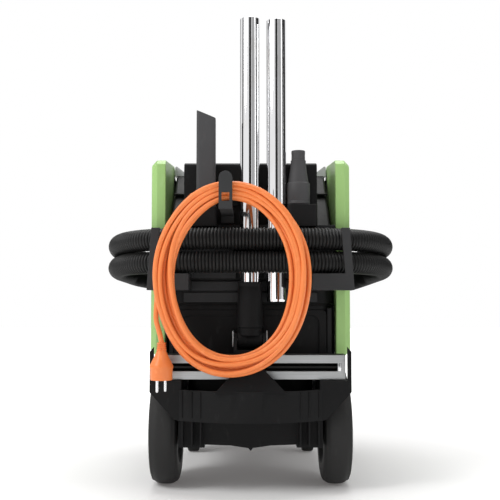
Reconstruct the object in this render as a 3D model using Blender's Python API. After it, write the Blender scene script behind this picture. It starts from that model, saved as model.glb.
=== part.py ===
"""Wheeled shop vacuum with its hose, tools and mains cord stowed on the back.

Metres, +Z up. The rear of the machine faces -Y, its front +Y, and the origin is on the
floor under the middle of the machine. Each physical piece is one object.
"""

import math

import bmesh
import bpy
from mathutils import Matrix, Vector

# ---- driving dimensions -------------------------------------------------------------
HALF_LENGTH = 0.311  # middle of the machine to the cord hook, and to the front bumper
GAP = 0.0003  # between pieces that touch

WHEEL_R = 0.098
WHEEL_X = (0.1275, 0.1780)  # inner and outer face of a rear wheel
AXLE_Y = -0.145
AXLE_R = 0.006
CASTER_X, CASTER_Y = 0.125, 0.205  # swivel axis of a front caster
CASTER_R = 0.0375
CASTER_TRAIL = 0.022

DECK_Z = (0.112, 0.128)  # floor of the chassis
DECK_HALF = 0.124  # between the rear wheels
ARCH_R = (0.103, 0.108)
ARCH_X = (0.118, 0.172)
BUMPER_Z = (0.1315, 0.179)
BUMPER_HALF = 0.127
BUMPER_Y = (-0.250, -0.290)  # at its ends and in the middle

TANK_HALF = 0.150
TANK_Y = (-0.163, 0.250)
TANK_Z = (0.1285, 0.210, 0.322)  # foot, shoulder over the wheel arches, rim
WALL = 0.004
PORT_Z = 0.255
PORT_R = 0.021

HEAD_HALF = 0.150
BASE_HALF = 0.153
BASE_Z = (0.3265, 0.368)
HEAD_REAR, HEAD_FRONT = -0.152, 0.250
SLOPE_REAR = ((-0.152, 0.462), (-0.004, 0.583))  # (y, z) foot and head of the rear slope
SLOPE_FRONT = ((0.250, 0.470), (0.222, 0.583))  # of the sloping control face
DECK_TOP = 0.5865
HANDLE_PIVOT = (0.020, 0.5945)
PANEL_HALF = 0.1225
PANEL_Y = -0.1635

RAIL_X = (0.1555, 0.182)
RAIL_Y = -0.172

TUBE_R = 0.018
TUBE_Y = -0.190
TUBE_X = (-0.001, 0.047)  # the left tube stands in the floor nozzle
TUBE_TOP = (0.845, 0.842)
TUBE_FOOT = (0.312, 0.330)
CREVICE_X = -0.0805
ADAPTER_X = 0.0865

NOZZLE_HALF = 0.1645
NOZZLE_SLOT = 0.151  # half length of its suction slot
NOZZLE_Z = (0.195, 0.238)
NOZZLE_PIVOT = (TUBE_X[0], TUBE_Y, 0.262)

HOSE_D = 0.040
HOSE_HALF = (0.260, 0.264)  # half width and half depth of its turns
HOSE_CENTRE_Y = 0.029
HOSE_SQUARE = 3.0  # exponent of the turns' rounded-square outline

CORD_D = 0.0085
COIL_CENTRE = (-0.031, -0.293, 0.369)
COIL_HALF = (0.115, 0.148)  # middle of the wound band, in X and Z
COIL_BAND = (0.038, 0.019)  # its width in the plane of the coil, and its depth
HOOK_X = (-0.0535, -0.0305)


# ---- tools for the shapes -----------------------------------------------------------
def finish(name, colour, roughness=0.5, metallic=0.0):
    """A Principled material, made once for each name."""
    material = bpy.data.materials.get(name)
    if material is None:
        material = bpy.data.materials.new(name)
        material.use_nodes = True
        shader = material.node_tree.nodes["Principled BSDF"]
        shader.inputs["Base Color"].default_value = (*colour, 1.0)
        shader.inputs["Roughness"].default_value = roughness
        shader.inputs["Metallic"].default_value = metallic
    return material


def black():
    return finish("black_plastic", (0.012, 0.012, 0.013), 0.55)


def grey():
    return finish("grey_plastic", (0.075, 0.075, 0.078), 0.55)


def light_grey():
    return finish("light_grey_plastic", (0.55, 0.55, 0.56), 0.5)


def green():
    return finish("green_plastic", (0.30, 0.58, 0.19), 0.4)


def orange():
    return finish("orange_rubber", (0.85, 0.23, 0.05), 0.5)


def rubber():
    return finish("black_rubber", (0.02, 0.02, 0.02), 0.8)


def steel():
    return finish("steel", (0.62, 0.63, 0.64), 0.3, 1.0)


def chrome():
    return finish("chrome", (0.8, 0.8, 0.8), 0.06, 1.0)


def make(name, shape, material):
    """An object from a bmesh, with its faces pointing out."""
    bmesh.ops.recalc_face_normals(shape, faces=shape.faces)
    mesh = bpy.data.meshes.new(name)
    shape.to_mesh(mesh)
    shape.free()
    mesh.materials.append(material)
    body = bpy.data.objects.new(name, mesh)
    bpy.context.scene.collection.objects.link(body)
    return body


def smooth(body, degrees=35):
    """Round faces shaded smooth, edges sharper than the angle kept."""
    body.data.shade_smooth()
    body.data.set_sharp_from_angle(angle=math.radians(degrees))
    return body


def settled(body):
    """The body with its modifiers turned into mesh."""
    shown = body.evaluated_get(bpy.context.evaluated_depsgraph_get())
    mesh = bpy.data.meshes.new_from_object(shown)
    body.modifiers.clear()
    body.data = mesh
    return body


def rounded(body, width, segments=2, degrees=40):
    """Bevels the edges that are sharper than the angle."""
    bevel = body.modifiers.new("Edges", "BEVEL")
    bevel.width = width
    bevel.segments = segments
    bevel.limit_method = "ANGLE"
    bevel.angle_limit = math.radians(degrees)
    return settled(body)


def combined(body, operation, tools):
    """Joins the tools to the body, or cuts them out of it, and removes them."""
    for tool in tools:
        step = body.modifiers.new("Shape", "BOOLEAN")
        step.operation = operation
        step.solver = "EXACT"
        step.object = tool
    settled(body)
    for tool in tools:
        bpy.data.objects.remove(tool)
    return body


def joined(body, *tools):
    return combined(body, "UNION", tools)


def cut(body, *tools):
    return combined(body, "DIFFERENCE", tools)


def prism(name, outline, axis, low, high, material):
    """An outline drawn across an axis and pushed along it from low to high."""
    place = {
        "X": lambda a, b, along: (along, a, b),
        "Y": lambda a, b, along: (a, along, b),
        "Z": lambda a, b, along: (a, b, along),
    }[axis]
    shape = bmesh.new()
    rings = [[shape.verts.new(place(a, b, along)) for a, b in outline] for along in (low, high)]
    for ring in rings:
        shape.faces.new(ring)
    for i in range(len(outline)):
        j = (i + 1) % len(outline)
        shape.faces.new((rings[0][i], rings[0][j], rings[1][j], rings[1][i]))
    return make(name, shape, material)


def block(name, x, y, z, material):
    """A box from three (low, high) pairs."""
    outline = [(x[0], y[0]), (x[1], y[0]), (x[1], y[1]), (x[0], y[1])]
    return prism(name, outline, "Z", z[0], z[1], material)


def plan(x, y, radius, steps=4):
    """A rectangle's outline with round corners."""
    points = []
    for quarter, (cx, cy) in enumerate(
        [
            (x[1] - radius, y[1] - radius),
            (x[0] + radius, y[1] - radius),
            (x[0] + radius, y[0] + radius),
            (x[1] - radius, y[0] + radius),
        ]
    ):
        for step in range(steps + 1):
            turn = math.radians(90 * (quarter + step / steps))
            points.append((cx + radius * math.cos(turn), cy + radius * math.sin(turn)))
    return points


def mirrored(outline):
    """An outline's points with X turned over."""
    return [(-a, b) for a, b in outline]


def beside(side, inner, outer):
    """The (low, high) pair in X of something on the left, side -1, or the right, side 1."""
    return sorted((side * inner, side * outer))


def turned(name, profile, centre, axis, material, segments=32):
    """A lathe shape. The profile's (radius, height) points run round the section."""
    shape = bmesh.new()
    rings = []
    for radius, height in profile:
        if radius < 1e-6:
            rings.append([shape.verts.new((0, 0, height))])
            continue
        turns = [2 * math.pi * k / segments for k in range(segments)]
        rings.append(
            [shape.verts.new((radius * math.cos(t), radius * math.sin(t), height)) for t in turns]
        )
    closed = profile[0][0] > 1e-6
    for i in range(len(rings) if closed else len(rings) - 1):
        a, b = rings[i], rings[(i + 1) % len(rings)]
        for k in range(segments):
            m = (k + 1) % segments
            face = [a[k % len(a)], a[m % len(a)], b[m % len(b)], b[k % len(b)]]
            shape.faces.new(list(dict.fromkeys(face)))
    turn = Vector((0, 0, 1)).rotation_difference(Vector(axis)).to_matrix().to_4x4()
    shape.transform(Matrix.Translation(centre) @ turn)
    return smooth(make(name, shape, material))


def rod(name, radius, start, end, material, segments=24):
    """A plain round bar between two points."""
    start, end = Vector(start), Vector(end)
    long = (end - start).length
    profile = [(0, 0), (radius, 0), (radius, long), (0, long)]
    return turned(name, profile, start, (end - start).normalized(), material, segments)


def wedge(name, points, material):
    """The closed flat-sided solid that just holds the points."""
    shape = bmesh.new()
    for point in points:
        shape.verts.new(point)
    bmesh.ops.convex_hull(shape, input=shape.verts)
    return make(name, shape, material)


def curve_through(points, count):
    """Evenly spaced points on a smooth curve through the route's points."""
    points = [Vector(p) for p in points]
    ends = [2 * points[0] - points[1], *points, 2 * points[-1] - points[-2]]
    fine = []
    for i in range(len(points) - 1):
        a, b, c, d = ends[i : i + 4]
        for k in range(24):
            t = k / 24
            fine.append(
                0.5
                * (
                    2 * b
                    + (c - a) * t
                    + (2 * a - 5 * b + 4 * c - d) * t**2
                    + (3 * b - a - 3 * c + d) * t**3
                )
            )
    fine.append(points[-1])
    reached = [0.0]
    for a, b in zip(fine, fine[1:]):
        reached.append(reached[-1] + (b - a).length)
    spaced, i = [], 0
    for k in range(count):
        wanted = reached[-1] * k / (count - 1)
        while i < len(fine) - 2 and reached[i + 1] < wanted:
            i += 1
        share = (wanted - reached[i]) / (reached[i + 1] - reached[i])
        spaced.append(fine[i].lerp(fine[i + 1], min(share, 1.0)))
    return spaced


def flexible(name, points, diameter, material, sides=2):
    """A cord or hose as a curve with a round section and closed ends."""
    curve = bpy.data.curves.new(name, "CURVE")
    curve.dimensions = "3D"
    curve.bevel_depth = diameter / 2
    curve.bevel_resolution = sides
    curve.use_fill_caps = True
    line = curve.splines.new("POLY")
    line.points.add(len(points) - 1)
    for place, point in zip(line.points, points):
        place.co = (*point, 1.0)
    curve.materials.append(material)
    body = bpy.data.objects.new(name, curve)
    bpy.context.scene.collection.objects.link(body)
    return body


def arc(centre, radius, start, end, steps):
    """Points on a circle between two angles in degrees."""
    turns = [math.radians(start + (end - start) * k / steps) for k in range(steps + 1)]
    return [(centre[0] + radius * math.cos(t), centre[1] + radius * math.sin(t)) for t in turns]


def on_slope(along, out, slope=SLOPE_FRONT):
    """The (y, z) point a distance along a sloping face and a distance out from it."""
    foot, head = Vector(slope[0]), Vector(slope[1])
    up = (head - foot).normalized()
    return tuple(foot + up * along + Vector((up.y, -up.x)) * out)


# ---- chassis ------------------------------------------------------------------------
def bumper_arc(inset):
    """The bumper's curve in plan, from its left end to its right end."""
    sag = BUMPER_Y[0] - BUMPER_Y[1]
    half = BUMPER_HALF - inset
    xs = [half * (k / 7 - 1) for k in range(15)]
    return [(x, BUMPER_Y[1] + inset + sag * (x / BUMPER_HALF) ** 2) for x in xs]


def bumper():
    """The curved rear band with the well behind it."""
    back = -0.238
    outer = [*bumper_arc(0.0), (BUMPER_HALF, back), (-BUMPER_HALF, back)]
    inner = [*bumper_arc(0.006), (BUMPER_HALF - 0.006, -0.2), (-BUMPER_HALF + 0.006, -0.2)]
    band = prism("band", outer, "Z", BUMPER_Z[0] - 0.005, BUMPER_Z[1], black())
    return cut(band, prism("well", inner, "Z", BUMPER_Z[0] + 0.004, 0.2, black()))


def wheel_arch(side):
    """The mudguard over one rear wheel, its inner wall and the wing behind it."""
    ring = arc((AXLE_Y, WHEEL_R), ARCH_R[1], 10, 138, 13)
    ring += arc((AXLE_Y, WHEEL_R), ARCH_R[0], 138, 10, 13)
    low, high = beside(side, *ARCH_X)
    guard = prism("guard", ring, "X", low, high, black())
    wall = arc((AXLE_Y, WHEEL_R), ARCH_R[1] - 0.001, 10, 163, 14)
    low, high = beside(side, ARCH_X[0], DECK_HALF)
    wing = [
        (0.119, 0.128),
        (0.131, 0.128),
        (0.1735, 0.175),
        (0.1735, 0.244),
        (0.1665, 0.252),
        (0.1665, 0.1945),
        (0.119, 0.1945),
    ]
    if side < 0:
        wing = mirrored(wing)
    return joined(
        guard,
        prism("wall", wall, "X", low, high, black()),
        prism("wing", wing, "Y", -0.2525, -0.2465, black()),
    )


def axle_bracket(side):
    """The bored block that carries the axle beside one wheel, with its ribs."""
    low, high = beside(side, 0.079, DECK_HALF)
    carrier = block("carrier", (low, high), (-0.246, -0.118), (0.080, DECK_Z[0] + 0.004), black())
    ribs = [
        block(
            "rib",
            (side * x - 0.0015, side * x + 0.0015),
            (-0.2545 if x > 0.11 else -0.262, -0.243),
            (0.084, BUMPER_Z[0] + 0.002),
            black(),
        )
        for x in (0.117, 0.100, 0.085)
    ]
    return joined(carrier, *ribs)


def chassis():
    """The moulded base: deck, bumper, wheel arches, axle brackets and front bumper."""
    wide, step = 0.160, AXLE_Y + ARCH_R[1] + 0.001
    front = HALF_LENGTH - 0.028
    outline = [
        (-DECK_HALF, -0.246),
        (DECK_HALF, -0.246),
        (DECK_HALF, step),
        (wide, step),
        (wide, front - 0.05),
        (wide - 0.03, front),
        (-wide + 0.03, front),
        (-wide, front - 0.05),
        (-wide, step),
        (-DECK_HALF, step),
    ]
    body = prism("chassis", outline, "Z", DECK_Z[0], DECK_Z[1], black())
    skirt = [(-0.082, 0.120), (-0.080, 0.085), (-0.035, 0.0835), (-0.004, 0.079), (0, 0.074)]
    skirt += [(-x, z) for x, z in reversed(skirt[:-1])]
    nose = [(x, HALF_LENGTH - 0.022 * (x / 0.14) ** 2) for x in (k * 0.02 for k in range(7, -8, -1))]
    tongue = [
        (x * half, y + depth, z)
        for half, y, z in ((0.061, -0.2885, 0.176), (0.018, -0.2730, 0.220))
        for x in (-1, 1)
        for depth in (0.0, 0.004)
    ]
    joined(
        body,
        prism("skirt", skirt, "Y", -0.2455, -0.2395, black()),
        bumper(),
        prism("nose", [*nose, (-0.14, 0.26), (0.14, 0.26)], "Z", 0.100, 0.150, black()),
        wedge("tongue", tongue, black()),
        wheel_arch(-1),
        wheel_arch(1),
        axle_bracket(-1),
        axle_bracket(1),
    )
    hole = rod("hole", AXLE_R + 0.0003, (-0.2, AXLE_Y, WHEEL_R), (0.2, AXLE_Y, WHEEL_R), black())
    pocket = block("pocket", (-0.120, 0.120), (0.21, 0.262), (DECK_Z[1], 0.2), black())
    return cut(body, hole, pocket)


def rear_axle():
    ends = [(side * (WHEEL_X[1] + 0.003), AXLE_Y, WHEEL_R) for side in (-1, 1)]
    return rod("rear_axle", AXLE_R, *ends, steel())


def rear_wheel(name, side):
    """A wide one-piece plastic wheel with a crowned tread and a dished outer face."""
    wide = WHEEL_X[1] - WHEEL_X[0]
    bore = AXLE_R + 0.0003
    profile = [
        (bore, 0.0),
        (0.080, 0.0),
        (0.092, 0.003),
        (0.0965, 0.012),
        (WHEEL_R, wide * 0.5),
        (0.0965, wide - 0.012),
        (0.090, wide - 0.002),
        (0.078, wide),
        (0.072, wide - 0.010),
        (0.030, wide - 0.010),
        (0.024, wide - 0.002),
        (bore, wide - 0.002),
    ]
    centre = (side * WHEEL_X[0], AXLE_Y, WHEEL_R)
    return turned(name, profile, centre, (side, 0, 0), black(), 48)


def caster_fork(name, side):
    """The swivelling hood of a front caster, with its stem and riveted wheel pin."""
    x, y = side * CASTER_X, CASTER_Y
    hub = y - CASTER_TRAIL
    leg = [
        (hub - 0.010, 0.030),
        (hub + 0.010, 0.030),
        (y + 0.016, 0.080),
        (y + 0.014, 0.094),
        (hub - 0.020, 0.094),
        (hub - 0.018, 0.070),
    ]
    body = prism(name, leg, "X", x - 0.0195, x - 0.0150, grey())
    top = ((x - 0.019, x + 0.019), (hub - 0.020, y + 0.014), (0.084, 0.0945))
    return joined(
        body,
        prism("leg", leg, "X", x + 0.0150, x + 0.0195, grey()),
        block("crown", *top, grey()),
        rod("stem", 0.014, (x, y, 0.090), (x, y, DECK_Z[0] - GAP), grey()),
        rod("pin", 0.004, (x - 0.018, hub, CASTER_R), (x + 0.018, hub, CASTER_R), grey(), 16),
    )


def caster_wheel(name, side):
    profile = [
        (0.0043, -0.0125),
        (0.034, -0.0125),
        (CASTER_R, -0.008),
        (CASTER_R, 0.008),
        (0.034, 0.0125),
        (0.0043, 0.0125),
    ]
    centre = (side * CASTER_X, CASTER_Y - CASTER_TRAIL, CASTER_R)
    return turned(name, profile, centre, (1, 0, 0), rubber(), 32)


def caster_brake(name, side):
    """The foot pedal behind a front caster that presses on its wheel."""
    x, hub = side * CASTER_X, CASTER_Y - CASTER_TRAIL
    pedal = [
        (hub - 0.0210, 0.0935),
        (hub - 0.0210, 0.0840),
        (hub - 0.0300, 0.0790),
        (hub - 0.0560, 0.0790),
        (hub - 0.0560, 0.0840),
        (hub - 0.0340, 0.0870),
    ]
    return prism(name, pedal, "X", x - 0.013, x + 0.013, rubber())


# ---- tank ---------------------------------------------------------------------------
def tank():
    """The dust and water tank, open at the top, narrow between the wheel arches."""
    foot, shoulder, rim = TANK_Z
    low_half = 0.115  # half width of the narrow part

    def shell(inset, bottom, top):
        x = (TANK_HALF - inset, TANK_Y[0] + inset, TANK_Y[1] - inset)
        upper = plan((-x[0], x[0]), x[1:], 0.030 - inset)
        narrow = low_half - inset
        lower = plan((-narrow, narrow), (x[1] + 0.002, 0.205 - inset), 0.030 - inset)
        return joined(
            prism("upper", upper, "Z", shoulder + inset, top, black()),
            prism("lower", lower, "Z", bottom, shoulder + inset + 0.002, black()),
        )

    body = shell(0.0, foot, rim)
    body.name = "tank"
    lugs = [
        block("lug", beside(side, 0.149, 0.1565), (0.088, 0.122), (0.292, 0.297), black())
        for side in (-1, 1)
    ]
    ledge = plan((-0.125, 0.030), (TANK_Y[1] - 0.003, 0.2985), 0.010)
    post = plan((-0.112, -0.062), (0.2545, 0.2965), 0.008)
    joined(
        body,
        prism("ledge", ledge, "Z", 0.306, 0.322, black()),
        prism("post", post, "Z", 0.320, 0.3560, black()),
        *lugs,
    )
    inside = shell(WALL, foot + WALL, rim + 0.05)
    hole = rod("hole", 0.0275, (0, TANK_Y[1] - 0.02, PORT_Z), (0, TANK_Y[1] + 0.02, PORT_Z), black())
    return cut(body, inside, hole)


def tank_seal():
    """The rubber gasket between the tank's rim and the head."""
    edge = 0.0002
    outer = plan((-TANK_HALF + edge, TANK_HALF - edge), (TANK_Y[0] + edge, TANK_Y[1] - edge), 0.030)
    inner = plan((-0.1455, 0.1455), (TANK_Y[0] + 0.0045, TANK_Y[1] - 0.0045), 0.0255)
    z = (TANK_Z[2] + GAP, BASE_Z[0] - GAP)
    body = prism("tank_seal", outer, "Z", *z, rubber())
    return cut(body, prism("inner", inner, "Z", z[0] - 0.01, z[1] + 0.01, rubber()))


def inlet_port():
    """The flanged socket in the tank's front that the hose's elbow plugs into."""
    wall = TANK_Y[1]
    profile = [
        (PORT_R, -0.020),
        (0.0270, -0.020),
        (0.0270, GAP),
        (0.0390, GAP),
        (0.0390, 0.006),
        (0.0290, 0.006),
        (0.0270, 0.026),
        (PORT_R, 0.026),
    ]
    return turned("inlet_port", profile, (0, wall, PORT_Z), (0, 1, 0), grey(), 32)


# ---- side rails and rear rack -------------------------------------------------------
def rail(name, side):
    """One of the two coloured cheeks that stand beside the head."""
    outline = [
        (RAIL_Y, 0.232),
        (RAIL_Y, 0.582),
        (RAIL_Y + 0.010, 0.590),
        (0.010, 0.605),
        (0.030, 0.600),
        (0.052, 0.560),
        (0.020, 0.420),
        (-0.050, 0.290),
        (-0.100, 0.232),
    ]
    low, high = beside(side, *RAIL_X)
    body = prism(name, outline, "X", low, high, green())
    edges = [
        edge
        for edge in range(len(body.data.edges))
        if all(
            abs(body.data.vertices[v].co.x - side * RAIL_X[1]) < 1e-5
            for v in body.data.edges[edge].vertices
        )
    ]
    weights = body.data.attributes.new("bevel_weight_edge", "FLOAT", "EDGE")
    for edge in edges:
        weights.data[edge].value = 1.0
    bevel = body.modifiers.new("Chamfer", "BEVEL")
    bevel.limit_method = "WEIGHT"
    bevel.width = 0.010
    bevel.segments = 1
    return settled(body)


def rear_rack():
    """The bar across the rails that carries the hose arms, tool cups and tube clip."""
    back = (-0.1695, -0.1645)
    body = block("rear_rack", (-0.155, 0.155), back, (0.372, 0.470), grey())
    extras = []
    for side in (-1, 1):
        arm = [
            (0.108, 0.350),
            (0.181, 0.350),
            (0.1735, 0.459),
            (0.1585, 0.459),
            (0.1650, 0.379),
            (0.108, 0.379),
        ]
        if side < 0:
            arm = mirrored(arm)
        extras.append(prism("arm", arm, "Y", -0.2425, -0.2365, grey()))
        for name, x, y, z in (
            ("floor", (0.108, 0.1790), (-0.2400, RAIL_Y - GAP), (0.350, 0.355)),
            ("rib", (0.108, 0.113), (-0.2400, -0.1665), (0.352, 0.379)),
            ("foot", (0.108, 0.155), (-0.1760, -0.1645), (0.350, 0.375)),
        ):
            extras.append(block(name, beside(side, *x), y, z, grey()))
    joined(body, *extras)
    return cut(body, block("neck_notch", (-0.0265, 0.0245), (-0.18, -0.15), (0.36, 0.3885), grey()))


def tool_cup(name, x, centre, high):
    """A cup on the rack that one small tool stands in."""
    outline = plan(x, (-0.2130, -0.1698), 0.006, 2)
    body = prism(name, outline, "Z", 0.4640, high, black())
    return cut(body, rod("bore", 0.0173, (centre, TUBE_Y, 0.4680), (centre, TUBE_Y, high + 0.01), black()))


def tube_clip():
    """The block on the rack whose two bores hold the suction tubes upright."""
    outline = plan((-0.031, 0.077), (-0.2105, -0.1698), 0.006, 2)
    body = prism("tube_clip", outline, "Z", 0.384, 0.4485, black())
    radius = TUBE_R + 0.0006
    bores = [rod("bore", radius, (x, TUBE_Y, 0.37), (x, TUBE_Y, 0.46), black(), 32) for x in TUBE_X]
    return cut(body, *bores)


# ---- head ---------------------------------------------------------------------------
FILTER_X = (0.014, 0.128)
FILTER_Y = (-0.130, 0.070)
MOTOR_Y = 0.155


def head_base():
    """The head's floor ring, with the filter windows and the latch lugs."""
    outline = plan((-BASE_HALF, BASE_HALF), (-0.1625, HEAD_FRONT + 0.0005), 0.030)
    body = prism("head_base", outline, "Z", *BASE_Z, black())
    inner = plan((-0.148, 0.148), (-0.1575, HEAD_FRONT - 0.0045), 0.026)
    holes = [prism("inside", inner, "Z", BASE_Z[0] + 0.005, 0.4, black())]
    for side in (-1, 1):
        window = (beside(side, 0.024, 0.118), (-0.120, 0.060), (0.3, 0.4))
        holes.append(block("window", *window, black()))
    holes.append(rod("throat", 0.0140, (0, MOTOR_Y, 0.3), (0, MOTOR_Y, 0.4), black()))
    cut(body, *holes)
    lugs = [
        block("lug", beside(side, 0.152, 0.1625), (y - 0.0035, y + 0.0035), (0.350, 0.364), black())
        for side in (-1, 1)
        for y in (0.0810, 0.1290)
    ]
    return joined(body, *lugs)


def head_shell():
    """The head's housing, open below, its back and its control face sloping."""
    rear, front = SLOPE_REAR, SLOPE_FRONT
    foot = BASE_Z[1] + GAP
    outline = [(HEAD_REAR, foot), rear[0], rear[1], front[1], front[0], (HEAD_FRONT, foot)]
    body = prism("head_shell", outline, "X", -HEAD_HALF, HEAD_HALF, black())
    rounded(body, 0.006, 2, 60)
    inner = [
        (HEAD_REAR + WALL, 0.3),
        (rear[0][0] + WALL, rear[0][1] - 0.002),
        (rear[1][0] + 0.002, rear[1][1] - WALL),
        (front[1][0] - 0.003, front[1][1] - WALL),
        (front[0][0] - WALL, front[0][1] - 0.001),
        (HEAD_FRONT - WALL, 0.3),
    ]
    inside = HEAD_HALF - WALL
    return cut(body, prism("inside", inner, "X", -inside, inside, black()))


def rear_panel():
    """The raised cover in the middle of the head's back, hollow behind its walls."""
    out = 0.0008
    top = DECK_TOP - 0.0005
    foot, head = SLOPE_REAR
    outline = [
        (PANEL_Y, BASE_Z[1] + GAP),
        (PANEL_Y, top - 0.010),
        (PANEL_Y + 0.003, top - 0.003),
        (PANEL_Y + 0.010, top),
        (head[0], top),
        (head[0], head[1] + 0.0010),
        (foot[0] - out, foot[1] + out),
        (foot[0] - out, BASE_Z[1] + GAP),
    ]
    body = prism("rear_panel", outline, "X", -PANEL_HALF, PANEL_HALF, black())
    rounded(body, 0.006, 2, 60)
    inner = [
        (PANEL_Y + WALL, BASE_Z[1] + 0.012),
        (PANEL_Y + WALL, top - 0.010),
        (PANEL_Y + 0.012, top - WALL),
        (head[0] - 0.008, top - WALL),
        (head[0] + 0.05, top - 0.05),
        (-0.10, 0.36),
    ]
    inside = PANEL_HALF - WALL
    return cut(body, prism("inside", inner, "X", -inside, inside, black()))


def top_cover():
    """The light lid over the head: a flat deck between raised shoulders."""
    half = BASE_HALF
    section = [(half, 0.5834), (half, 0.602), (half - 0.003, 0.604), (0.132, 0.590), (0.118, DECK_TOP)]
    section += [(-x, z) for x, z in reversed(section)]
    body = prism("top_cover", section, "Y", -0.0015, 0.2225, light_grey())
    lugs = []
    for side in (-1, 1):
        lugs.append(block("lug", beside(side, 0.084, 0.094), (0.010, 0.030), (0.585, 0.603), light_grey()))
    joined(body, *lugs)
    y, z = HANDLE_PIVOT
    return cut(body, rod("hole", 0.0034, (-0.12, y, z), (0.12, y, z), light_grey(), 12))


def handle():
    """The carrying handle, folded flat on the deck and hinged at its rear ends."""
    y, z = HANDLE_PIVOT
    knuckle = 0.0068
    body = block("handle", (-0.080, 0.080), (0.150, 0.174), (DECK_TOP + 0.001, 0.6035), grey())
    arms = []
    for side in (-1, 1):
        x = beside(side, 0.066, 0.080)
        arms.append(block("arm", x, (y, 0.160), (z - 0.0065, z + 0.0065), grey()))
        arms.append(rod("knuckle", knuckle, (x[0], y, z), (x[1], y, z), grey(), 20))
        start, end = beside(side, 0.075, 0.092)
        arms.append(rod("stub", 0.0031, (start, y, z), (end, y, z), grey(), 12))
    return joined(body, *arms)


def slope_plate(name, x, along, out):
    """A plate lying on the sloping front, from low to high along it and out from it."""
    corners = [(along[0], out[0]), (along[1], out[0]), (along[1], out[1]), (along[0], out[1])]
    return prism(name, [on_slope(a, b) for a, b in corners], "X", *x, grey())


def control_panel():
    """The plate on the sloping front that carries the switch, dial, button and socket."""
    return slope_plate("control_panel", (-0.125, 0.125), (0.008, 0.106), (0.0005, 0.0045))


def knob(name, x, along, radius, high, material):
    """A round knob on the control panel, with a grip bar across it."""
    y, z = on_slope(along, 0.0045 + GAP)
    out = Vector((0, *on_slope(0, 1))) - Vector((0, *on_slope(0, 0)))
    profile = [(0, 0), (radius, 0), (radius * 0.94, high * 0.55), (0, high * 0.55)]
    body = turned(name, profile, (x, y, z), out, material, 24)
    grip = radius * 0.9
    corners = [(-grip, -0.004), (grip, -0.004), (grip, 0.004), (-grip, 0.004)]
    up = Vector((0, *on_slope(1, 0))) - Vector((0, *on_slope(0, 0)))
    points = [
        Vector((x, y, z)) + Vector((a, 0, 0)) + up * b + out * h
        for a, b in corners
        for h in (high * 0.4, high)
    ]
    return joined(body, wedge("grip", points, material))


def clean_button():
    """The push button that shakes the filters clean."""
    y, z = on_slope(0.030, 0.0045 + GAP)
    out = Vector((0, *on_slope(0, 1))) - Vector((0, *on_slope(0, 0)))
    face = Vector((0, y, z))
    return rod("clean_button", 0.009, face + out * 0.0025, face + out * 0.009, green())


def power_socket():
    """The appliance outlet's round housing on the control panel."""
    y, z = on_slope(0.057, 0.0045 + GAP)
    out = Vector((0, *on_slope(0, 1))) - Vector((0, *on_slope(0, 0)))
    profile = [(0.0, 0.0), (0.025, 0.0), (0.025, 0.010), (0.0205, 0.010), (0.0205, 0.003), (0.0, 0.003)]
    return turned("power_socket", profile, (0.088, y, z), out, grey(), 32)


def socket_lid():
    """The sprung lid over the outlet, hinged along its upper edge."""
    return slope_plate("socket_lid", (0.061, 0.115), (0.030, 0.0845), (0.0152, 0.0185))


def exhaust_grille():
    """The slotted outlet for the motor's air, low on the head's front."""
    y = (HEAD_FRONT + GAP, HEAD_FRONT + 0.004)
    body = block("exhaust_grille", (-0.105, 0.105), y, (0.416, 0.462), black())
    levels = (0.422, 0.431, 0.440, 0.449)
    slots = [block("slot", (-0.095, 0.095), (0.2, 0.3), (z, z + 0.004), black()) for z in levels]
    return cut(body, *slots)


def latch(name, side):
    """A side clip that hangs from the head and hooks under the tank's lug."""
    inner, outer = 0.1575, 0.1615
    plate = [
        (inner, 0.3480),
        (inner - 0.0010, 0.3560),
        (inner + 0.0020, 0.3610),
        (outer + 0.0005, 0.3600),
        (outer, 0.3480),
        (outer, 0.2830),
        (0.1520, 0.2830),
        (0.1520, 0.2900),
        (inner, 0.2905),
    ]
    if side < 0:
        plate = mirrored(plate)
    return prism(name, plate, "Y", 0.0855, 0.1245, grey())


# ---- inside the head ----------------------------------------------------------------
def motor_housing():
    """The cup that seals the motor over the throat in the head's floor."""
    profile = [
        (0.020, 0.3320),
        (0.064, 0.3320),
        (0.064, 0.5300),
        (0.060, 0.5300),
        (0.060, 0.3360),
        (0.020, 0.3360),
    ]
    return turned("motor_housing", profile, (0, MOTOR_Y, 0), (0, 0, 1), grey(), 32)


def motor():
    profile = [(0, 0.374), (0.004, 0.374), (0.004, 0.392), (0.050, 0.392), (0.050, 0.470), (0.034, 0.480)]
    profile += [(0.034, 0.515), (0.012, 0.520), (0, 0.520)]
    return turned("motor", profile, (0, MOTOR_Y, 0), (0, 0, 1), steel(), 32)


def impeller():
    profile = [(0.0045, 0.3700), (0.052, 0.3700), (0.052, 0.3850), (0.016, 0.3880), (0.0045, 0.3880)]
    return turned("impeller", profile, (0, MOTOR_Y, 0), (0, 0, 1), steel(), 32)


def filter_cassette(name, side):
    """A flat-fold filter, its pleats standing in a frame over its window."""
    pleats = 10
    low, high = FILTER_X
    pitch = (high - low) / pleats
    top = [(low + pitch * k / 2, 0.392 if k % 2 else 0.378) for k in range(2 * pleats, -1, -1)]
    outline = [(low, 0.3320), (high, 0.3320), *top]
    if side < 0:
        outline = mirrored(outline)
    return prism(name, outline, "Y", *FILTER_Y, finish("filter_paper", (0.75, 0.72, 0.62), 0.9))


def filter_shaker():
    """The electromagnet whose armature raps the filters."""
    body = block("filter_shaker", (-0.022, 0.022), (-0.060, 0.000), (0.4000, 0.4300), grey())
    return joined(body, rod("anvil", 0.008, (0, -0.03, 0.394), (0, -0.03, 0.405), grey(), 16))


def circuit_board():
    resin = finish("board", (0.05, 0.25, 0.1))
    body = block("circuit_board", (-0.138, -0.078), (0.120, 0.200), (0.4500, 0.4516), resin)
    choke = rod("choke", 0.010, (-0.105, 0.15, 0.451), (-0.105, 0.15, 0.466), grey(), 16)
    return joined(body, choke)


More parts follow.
